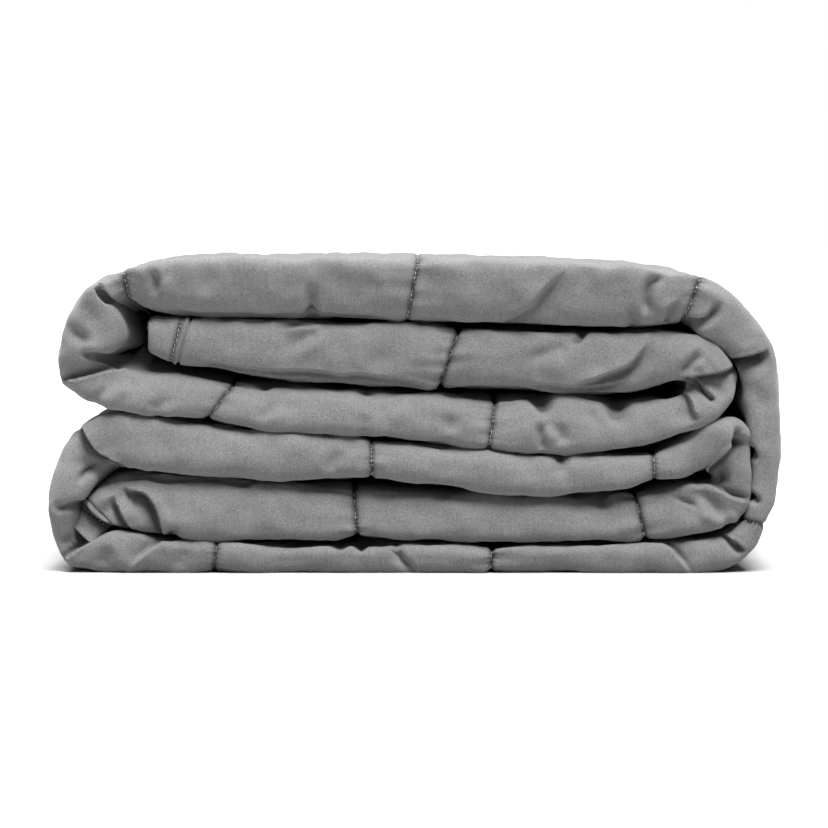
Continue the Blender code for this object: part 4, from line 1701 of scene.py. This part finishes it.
@dataclass(frozen=True)
class CottonFinish(Finish):
    """Grey spun cotton with a plain weave, mottled and fuzzy, with painted shade along its seams."""

    name: str = "grey_cotton_weave"
    dark: Colour = (0.0835, 0.084, 0.0853)
    light: Colour = (0.168, 0.169, 0.171)
    # Colour of the painted shade in the seams' grooves and needle holes
    painted_groove_shade: Colour = (0.018, 0.018, 0.02)
    threads_per_metre: float = 2200.0
    # Widths of the dark painted line at the stitches and of the band of painted shade beside it
    line_width: float = 0.0009
    shade_width: float = 0.0021
    # How much the mottling, the fuzz and the threads each lighten or darken the colour
    mottle_scale: float = 60.0
    fuzz_scale: float = 1500.0
    mottle: float = 0.45
    fuzz: float = 2.0
    threads: float = 0.7
    # Relief, in which the fuzz and the needle holes are set against the threads
    relief: float = 0.0001
    relief_strength: float = 0.55
    fuzz_height: float = 1.4
    prick_height: float = -4.0
    roughness: float = 0.88
    specular: float = 0.25
    sheen: float = 0.15
    sheen_roughness: float = 0.6

    def surface(self, graph: NodeGraph) -> dict[str | int, object]:
        """The cloth's colour, relief and shine.

        Args:
            graph: the material's graph.

        Returns:
            A value or a socket for each of the shader's inputs.
        """
        place = graph.add("ShaderNodeTexCoord").outputs["Object"]
        cloth = graph.add("ShaderNodeUVMap", uv_map="cloth").outputs[0]
        seam = graph.add("ShaderNodeUVMap", uv_map="seam").outputs[0]
        weave = graph.add(
            "ShaderNodeGroup",
            {"Cloth": cloth, "Threads per Metre": self.threads_per_metre},
            node_tree=PlainWeave().tree(),
        ).outputs
        # Painted shade of the seams' grooves and needle holes, as a mask that also dips the relief
        painted_seam_shade = graph.add(
            "ShaderNodeGroup",
            {
                "Seam": seam, "Stitch Pitch": STITCH_PITCH * MM,
                "Line Width": self.line_width, "Shade Width": self.shade_width,
            },
            node_tree=PaintedSeamShade().tree(),
        ).outputs["Depth"]
        mottle = graph.noise(place, self.mottle_scale, 4.0)["Fac"]
        fuzz = graph.noise(place, self.fuzz_scale, 2.0)["Fac"]
        parts = ((mottle, self.mottle), (fuzz, self.fuzz), (weave["Lightness"], self.threads))
        blend: Socket | float = 0.5 - 0.5 * sum(weight for _, weight in parts)
        for value, weight in parts:
            blend = graph.maths("MULTIPLY_ADD", value, weight, blend)
        colour = self.mix(graph, blend, (*self.dark, 1.0), (*self.light, 1.0))
        height = graph.maths("MULTIPLY_ADD", fuzz, self.fuzz_height, weave["Height"])
        height = graph.maths("MULTIPLY_ADD", painted_seam_shade, self.prick_height, height)
        bump = {"Height": height, "Strength": self.relief_strength, "Distance": self.relief}
        return {
            # Painted shade in and beside the seams darkens the colour here
            "Base Color": self.mix(graph, painted_seam_shade, colour, (*self.painted_groove_shade, 1.0)),
            "Roughness": self.roughness,
            "Specular IOR Level": self.specular,
            "Sheen Weight": self.sheen,
            "Sheen Roughness": self.sheen_roughness,
            "Normal": graph.add("ShaderNodeBump", bump).outputs[0],
        }

    @staticmethod
    def mix(graph: NodeGraph, share: object, first: object, second: object) -> Socket:
        """A colour between two others."""
        inputs = {0: share, 6: first, 7: second}
        return graph.add("ShaderNodeMix", inputs, data_type="RGBA").outputs[2]


@dataclass(frozen=True)
class ThreadFinish(Finish):
    """Grey twisted sewing thread."""

    name: str = "grey_thread"
    colour: Colour = (0.215, 0.215, 0.222)
    twists_per_metre: float = 2600.0
    darkest: float = 0.8
    lightest: float = 1.12
    relief: float = 0.0001
    relief_strength: float = 0.4
    roughness: float = 0.6

    def surface(self, graph: NodeGraph) -> dict[str | int, object]:
        """The thread's colour, relief and shine.

        Args:
            graph: the material's graph.

        Returns:
            A value or a socket for each of the shader's inputs.
        """
        place = graph.add("ShaderNodeTexCoord").outputs["Object"]
        twist = graph.noise(place, self.twists_per_metre, 2.0)["Fac"]
        shade = graph.add("ShaderNodeMapRange", {0: twist, 3: self.darkest, 4: self.lightest})
        colour = graph.vector("SCALE", self.colour)
        graph.tree.links.new(shade.outputs[0], colour.node.inputs["Scale"])
        bump = {"Height": twist, "Strength": self.relief_strength, "Distance": self.relief}
        return {
            "Base Color": colour,
            "Roughness": self.roughness,
            "Normal": graph.add("ShaderNodeBump", bump).outputs[0],
        }


@dataclass(frozen=True)
class FloorFinish(Finish):
    """Plain pale floor without a shine."""

    name: str = "pale_floor"
    colour: Colour = (0.41, 0.41, 0.41)

    def surface(self, graph: NodeGraph) -> dict[str | int, object]:
        """The floor's colour, with no node before the shader."""
        return {"Base Color": (*self.colour, 1.0), "Roughness": 1.0, "Specular IOR Level": 0.0}


# ----- The pieces -----


def place_object(name: str, data: bpy.types.ID) -> bpy.types.Object:
    """Puts something in the scene, as an object at the origin.

    Args:
        name: the object's name.
        data: its mesh, lamp or camera.

    Returns:
        The new object.
    """
    thing = bpy.data.objects.new(name, data)
    bpy.context.scene.collection.objects.link(thing)
    return thing


def mesh_object(name: str, points: Array, faces: Array | list[Array]) -> bpy.types.Object:
    """Makes a mesh object at the origin.

    Args:
        name: the object's name.
        points: its vertices, in millimetres.
        faces: rows of vertex numbers.

    Returns:
        The new object.
    """
    mesh = bpy.data.meshes.new(name)
    mesh.from_pydata((points * MM).tolist(), [], [face.tolist() for face in faces])
    mesh.update()
    return place_object(name, mesh)


@dataclass(frozen=True)
class ClothPiece:
    """One length of the blanket between two rows of the section table."""

    name: str
    first: str
    last: str
    shown: bool = True

    def outline(self) -> Outline:
        """The columns round this piece, fewer where its outer side is hidden."""
        return Outline(LayerProfile(shown=self.shown))

    def build(self, quilted: QuiltedStrip, finish: CottonFinish) -> tuple[bpy.types.Object, Surface]:
        """Makes the piece's mesh, with the UV maps that its finish reads.

        Args:
            quilted: the strip that it is a length of.
            finish: its finish.

        Returns:
            The piece, and the surface that its mesh is made from.
        """
        low, high = (quilted.strip.distance_of(name) for name in (self.first, self.last))
        surface = quilted.surface(low, high, self.outline())
        number = np.arange(surface.arc.size).reshape(surface.arc.shape)
        beside = np.roll(number, -1, axis=1)
        quads = np.stack([number[:-1], number[1:], beside[1:], beside[:-1]], axis=-1).reshape(-1, 4)
        caps = [number[0], number[-1][::-1]]
        thing = mesh_object(self.name, surface.points.reshape(-1, 3), [*quads, *caps])
        mesh = thing.data
        for name, values in (
            ("cloth", self.cloth_map(surface, quads)),
            ("seam", self.seam_map(surface)[np.concatenate([quads.ravel(), *caps])]),
        ):
            layer = mesh.uv_layers.new(name=name)
            layer.data.foreach_set("uv", (values * MM).astype(np.float32).ravel())
        mesh.polygons.foreach_set("use_smooth", np.ones(len(mesh.polygons), bool))
        mesh.materials.append(finish.material())
        mesh.update()
        return thing, surface

    @staticmethod
    def cloth_map(surface: Surface, quads: Array) -> Array:
        """The map that the weave follows: distance along the strip and round the layer.

        Args:
            surface: the piece's surface.
            quads: its faces, which are followed by one cap at each end.

        Returns:
            A place for each corner of each face.
        """
        size = surface.arc.shape[1]
        closing = np.linalg.norm(surface.points[:, -1] - surface.points[:, 0], axis=-1)
        round_it = np.column_stack([surface.arc, surface.arc[:, -1] + closing])
        along = np.broadcast_to(surface.distance[:, None], round_it.shape)
        chart = np.stack([along, round_it], axis=-1)
        row, column = np.divmod(quads, size)
        last = column[:, 2:]
        last[last == 0] = size
        return np.concatenate([chart[row, column].reshape(-1, 2), chart[0, :size], chart[-1, :size][::-1]])

    @staticmethod
    def seam_map(surface: Surface) -> Array:
        """The map that the seams' painted shade follows: distance from the stitches and along them, of each
        point.
        """
        return np.stack([surface.beside, surface.along], axis=-1).reshape(-1, 2)


@dataclass
class StitchLines:
    """Places, runs and lifts of every stitch, collected line by line."""

    sunk: float = 0.12
    half_stitch: float = 0.9
    sway: float = 0.22
    sway_length: float = 2.6 * STITCH_PITCH
    sway_turn: float = 0.9
    places: list[Array] = field(default_factory=list)
    runs: list[Array] = field(default_factory=list)
    lifts: list[Array] = field(default_factory=list)

    def along(self, line: Array, normals: Array) -> None:
        """Adds evenly spaced stitches along a line.

        Args:
            line: points on the cloth, in order.
            normals: the cloth's normals there.
        """
        reach = passed(line)
        if reach[-1] < STITCH_PITCH:
            return
        at = np.arange(0.5 * STITCH_PITCH, reach[-1], STITCH_PITCH)

        def read(values: Array, where: Array) -> Array:
            """Values at distances along the line."""
            return np.stack([np.interp(where, reach, column) for column in values.T], axis=1)

        run = unit(read(line, at + self.half_stitch) - read(line, at - self.half_stitch))
        lift = read(normals, at)
        strays = self.sway * wave_noise(at[:, None], self.sway_length, len(self.places))[:, None]
        strays = strays * np.cross(run, lift)
        self.places.append(read(line, at) - self.sunk * lift + strays)
        self.runs.append(run + self.sway_turn * strays)
        self.lifts.append(lift)


@dataclass(frozen=True)
class Stitching:
    """The stitches of the quilting and the hems, made by Geometry Nodes.

    Each stitch is a small bead, drawn out along its seam. `least` and `most` are the shares of its
    thickness, height and length that it varies between.
    """

    name: str = "quilting_stitches"
    length: float = 1.9
    thickness: float = 0.7
    seed: int = 4
    sides: int = 6
    rings: int = 4
    least: tuple[float, float, float] = (0.7, 0.75, 0.65)
    most: tuple[float, float, float] = (1.15, 1.2, 1.12)

    def tree(self, finish: ThreadFinish) -> bpy.types.NodeTree:
        """The node tree: one bead on every point, turned along its seam.

        Args:
            finish: the thread's finish.

        Returns:
            A tree that takes the points, a stitch's length and thickness in metres, and the seed.
        """
        inputs = {
            "Geometry": SocketKind.GEOMETRY, "Length": SocketKind.FLOAT,
            "Thickness": SocketKind.FLOAT, "Seed": SocketKind.INT,
        }
        outputs = {"Geometry": SocketKind.GEOMETRY}
        graph = NodeGraph.group("stitch_maker", TreeKind.GEOMETRY, inputs, outputs)
        start = graph.add("NodeGroupInput").outputs
        bead = graph.add(
            "GeometryNodeMeshUVSphere", {"Segments": self.sides, "Rings": self.rings, "Radius": 0.5}
        )
        turned: object = (0.0, 0.0, 0.0)
        for name, settings in (("run", {"axis": "Z"}), ("lift", {"axis": "X", "pivot_axis": "Z"})):
            named = {"Name": name}
            way = graph.add("GeometryNodeInputNamedAttribute", named, data_type="FLOAT_VECTOR")
            aim = {"Rotation": turned, "Vector": way.outputs["Attribute"]}
            turned = graph.add("FunctionNodeAlignRotationToVector", aim, **settings).outputs[0]
        uneven = graph.add(
            "FunctionNodeRandomValue",
            {"Min": self.least, "Max": self.most, "Seed": start["Seed"]},
            data_type="FLOAT_VECTOR",
        )
        size = graph.add(
            "ShaderNodeCombineXYZ", {0: start["Thickness"], 1: start["Thickness"], 2: start["Length"]}
        )
        placed = graph.add(
            "GeometryNodeInstanceOnPoints",
            {
                "Points": start["Geometry"], "Instance": bead.outputs[0], "Rotation": turned,
                "Scale": graph.vector("MULTIPLY", size.outputs[0], uneven.outputs[0]),
            },
        )
        real = graph.add("GeometryNodeRealizeInstances", {0: placed.outputs[0]})
        smoothed = graph.add("GeometryNodeSetShadeSmooth", {0: real.outputs[0]})
        dressed = graph.add(
            "GeometryNodeSetMaterial", {"Geometry": smoothed.outputs[0], "Material": finish.material()}
        )
        graph.add("NodeGroupOutput", {0: dressed.outputs[0]})
        return graph.tree

    def build(self, lines: StitchLines, finish: ThreadFinish) -> bpy.types.Object:
        """Makes the stitches as one plain mesh, without those that press on the floor.

        Args:
            lines: where the stitches are.
            finish: the thread's finish.

        Returns:
            The stitches.
        """
        points = np.concatenate(lines.places)
        raised = points[:, 2] > self.thickness
        holder = mesh_object("stitch_points", points[raised], [])
        for name, values in (("run", lines.runs), ("lift", lines.lifts)):
            attribute = holder.data.attributes.new(name, "FLOAT_VECTOR", "POINT")
            attribute.data.foreach_set("vector", np.concatenate(values)[raised].astype(np.float32).ravel())
        modifier = holder.modifiers.new("stitches", "NODES")
        modifier.node_group = self.tree(finish)
        wanted = {"Length": self.length * MM, "Thickness": self.thickness * MM, "Seed": self.seed}
        for item in modifier.node_group.interface.items_tree:
            if item.in_out == "INPUT" and item.name in wanted:
                modifier[item.identifier] = wanted[item.name]
        evaluated = holder.evaluated_get(bpy.context.evaluated_depsgraph_get())
        mesh = bpy.data.meshes.new_from_object(evaluated)
        mesh.name = self.name
        bpy.data.objects.remove(holder)
        return place_object(self.name, mesh)


@dataclass
class WeightedBlanket:
    """The whole folded blanket: five lengths of quilted cloth and their stitches.

    Between the rows of `open_sides` the strip's outer side shows behind the front folds too, so the
    stitches are made there as well.
    """

    cloth: CottonFinish = field(default_factory=CottonFinish)
    thread: ThreadFinish = field(default_factory=ThreadFinish)
    quilted: QuiltedStrip = field(default_factory=QuiltedStrip)
    stitching: Stitching = field(default_factory=Stitching)
    fill: float = 0.6
    fully_front: float = 0.99
    row_margin: float = 0.1
    column_margin: float = 0.01
    pieces: tuple[ClothPiece, ...] = (
        ClothPiece("layers_b_and_c", "end_b", "seam_c1", shown=False),
        ClothPiece("layer_a_and_left_band", "seam_c1", "seam_a3"),
        ClothPiece("right_wrap_and_layer_f", "seam_a3", "seam_f2"),
        ClothPiece("layer_d_and_lower_band", "seam_f2", "seam_d1"),
        ClothPiece("layer_e", "seam_d1", "end_e", shown=False),
    )
    open_sides: tuple[tuple[str, str], ...] = (("ca1", "f1"), ("f9", "d1"))

    def stitch(self, piece: ClothPiece, surface: Surface, lines: StitchLines) -> None:
        """Adds the stitches of one piece: across the strip at its seams, and along it where it shows.

        Args:
            piece: the piece.
            surface: its surface.
            lines: takes the stitches.
        """
        outline, strip = piece.outline(), self.quilted.strip
        places = surface.distance
        spans = [tuple(map(strip.distance_of, span)) for span in self.open_sides]
        to_outer = np.arange(np.flatnonzero(outline.outer)[-1] + 1)
        at_front = to_outer[outline.on_front[to_outer] > self.fully_front]

        def sew(rows: Array | int, columns: Array | int) -> None:
            """Adds one line of stitches, if it has a length."""
            if np.size(rows) > 1 or np.size(columns) > 1:
                lines.along(surface.points[rows, columns], surface.normals[rows, columns])

        for place, seam in strip.seams():
            stitched = self.quilted.stitched_at(place, seam)
            if not places[0] - self.row_margin <= stitched < places[-1] - self.row_margin:
                continue
            columns = to_outer if any(low <= stitched <= high for low, high in spans) else at_front
            if seam.tucked_in:
                columns = columns[outline.on_front[columns] < self.quilted.front_share]
            sew(int(np.argmin(np.abs(places - stitched))), columns)
        for place in self.quilted.profile.long_seams if outline.shown else ():
            on_seam = outline.outer & (np.abs(outline.offset - place) < self.column_margin)
            column = int(np.flatnonzero(on_seam)[0])
            for low, high in spans:
                sew(np.flatnonzero((places >= low) & (places <= high)), column)

    def build(self) -> None:
        """Builds and dresses every piece, hangs it under the root and hides the imported part."""
        lines = StitchLines()
        for piece in self.pieces:
            thing, surface = piece.build(self.quilted, self.cloth)
            self.stitch(piece, surface, lines)
            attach(thing, "root")
            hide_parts(NODE)
            LOG.info("%s: %d faces", thing.name, len(thing.data.polygons))
        stitches = self.stitching.build(lines, self.thread)
        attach(stitches, "root")
        LOG.info("%s: %d faces", stitches.name, len(stitches.data.polygons))


# ----- The studio -----


@dataclass(frozen=True)
class Lamp:
    """A very wide soft light that comes from one direction. Its spread is in degrees."""

    name: str
    source: tuple[float, float, float]
    spread: float
    strength: float

    def build(self) -> None:
        """Hangs the light."""
        lamp = bpy.data.lights.new(self.name, "SUN")
        lamp.angle = math.radians(self.spread)
        lamp.energy = self.strength
        holder = place_object(self.name, lamp)
        holder.rotation_euler = (-Vector(self.source)).to_track_quat("-Z", "Y").to_euler()


@dataclass(frozen=True)
class Studio:
    """Pale floor, soft light and the camera. Sizes are in metres.

    `distance` is from the camera to the front of the pile, at Y of `front`. `frame_width` is how
    much the camera takes in there, and `sensor` is the width of its film in millimetres.
    """

    distance: float = 2.1
    eye_height: float = 0.157
    aim_height: float = 0.0714
    front: float = -0.182
    frame_width: float = 0.3716
    sensor: float = 36.0
    nearest: float = 0.05
    furthest: float = 100.0
    floor_size: float = 60.0
    floor_finish: FloorFinish = field(default_factory=FloorFinish)
    sky: float = 0.15
    backdrop: float = 1.0
    lamps: tuple[Lamp, ...] = (
        Lamp("key_light", (0.2, -0.55, 1.0), 28.0, 5.8),
        Lamp("top_light", (-0.1, 0.15, 1.0), 60.0, 7.0),
    )

    def floor(self) -> None:
        """A wide plain floor."""
        half = 0.5 * self.floor_size / MM
        corners = np.array([(-half, -half, 0.0), (half, -half, 0.0), (half, half, 0.0), (-half, half, 0.0)])
        floor = mesh_object("studio_floor", corners, [np.arange(4)])
        floor.data.materials.append(self.floor_finish.material())

    def surround(self) -> None:
        """A soft white surround that lights less than it shows."""
        world = bpy.data.worlds.new("white_surround")
        world.use_nodes = True
        graph = NodeGraph(world.node_tree)
        seen = graph.add("ShaderNodeLightPath").outputs["Is Camera Ray"]
        white = {"Color": (1.0, 1.0, 1.0, 1.0)}
        lighting, showing = (
            graph.add("ShaderNodeBackground", white | {"Strength": strength}).outputs[0]
            for strength in (self.sky, self.backdrop)
        )
        mix = graph.add("ShaderNodeMixShader", {0: seen, 1: lighting, 2: showing})
        graph.add("ShaderNodeOutputWorld", {"Surface": mix.outputs[0]})
        bpy.context.scene.world = world

    def camera(self) -> None:
        """A long lens, low in front of the pile."""
        lens = bpy.data.cameras.new("camera")
        drop = self.eye_height - self.aim_height
        lens.sensor_width = self.sensor
        lens.lens = self.sensor * math.hypot(self.distance, drop) / self.frame_width
        lens.clip_start, lens.clip_end = self.nearest, self.furthest
        holder = place_object("camera", lens)
        holder.location = (0.0, self.front - self.distance, self.eye_height)
        holder.rotation_euler = (0.5 * math.pi - math.atan2(drop, self.distance), 0.0, 0.0)
        bpy.context.scene.camera = holder

    def build(self) -> None:
        """Sets up the floor, the lights and the camera."""
        self.floor()
        self.surround()
        for lamp in self.lamps:
            lamp.build()
        self.camera()
        bpy.context.scene.view_settings.view_transform = "Standard"


def main() -> None:
    """Builds the blanket and the studio, in order."""
    logging.basicConfig(level=logging.INFO, format="%(message)s")
    WeightedBlanket().build()
    Studio().build()


if __name__ == "__main__":
    main()
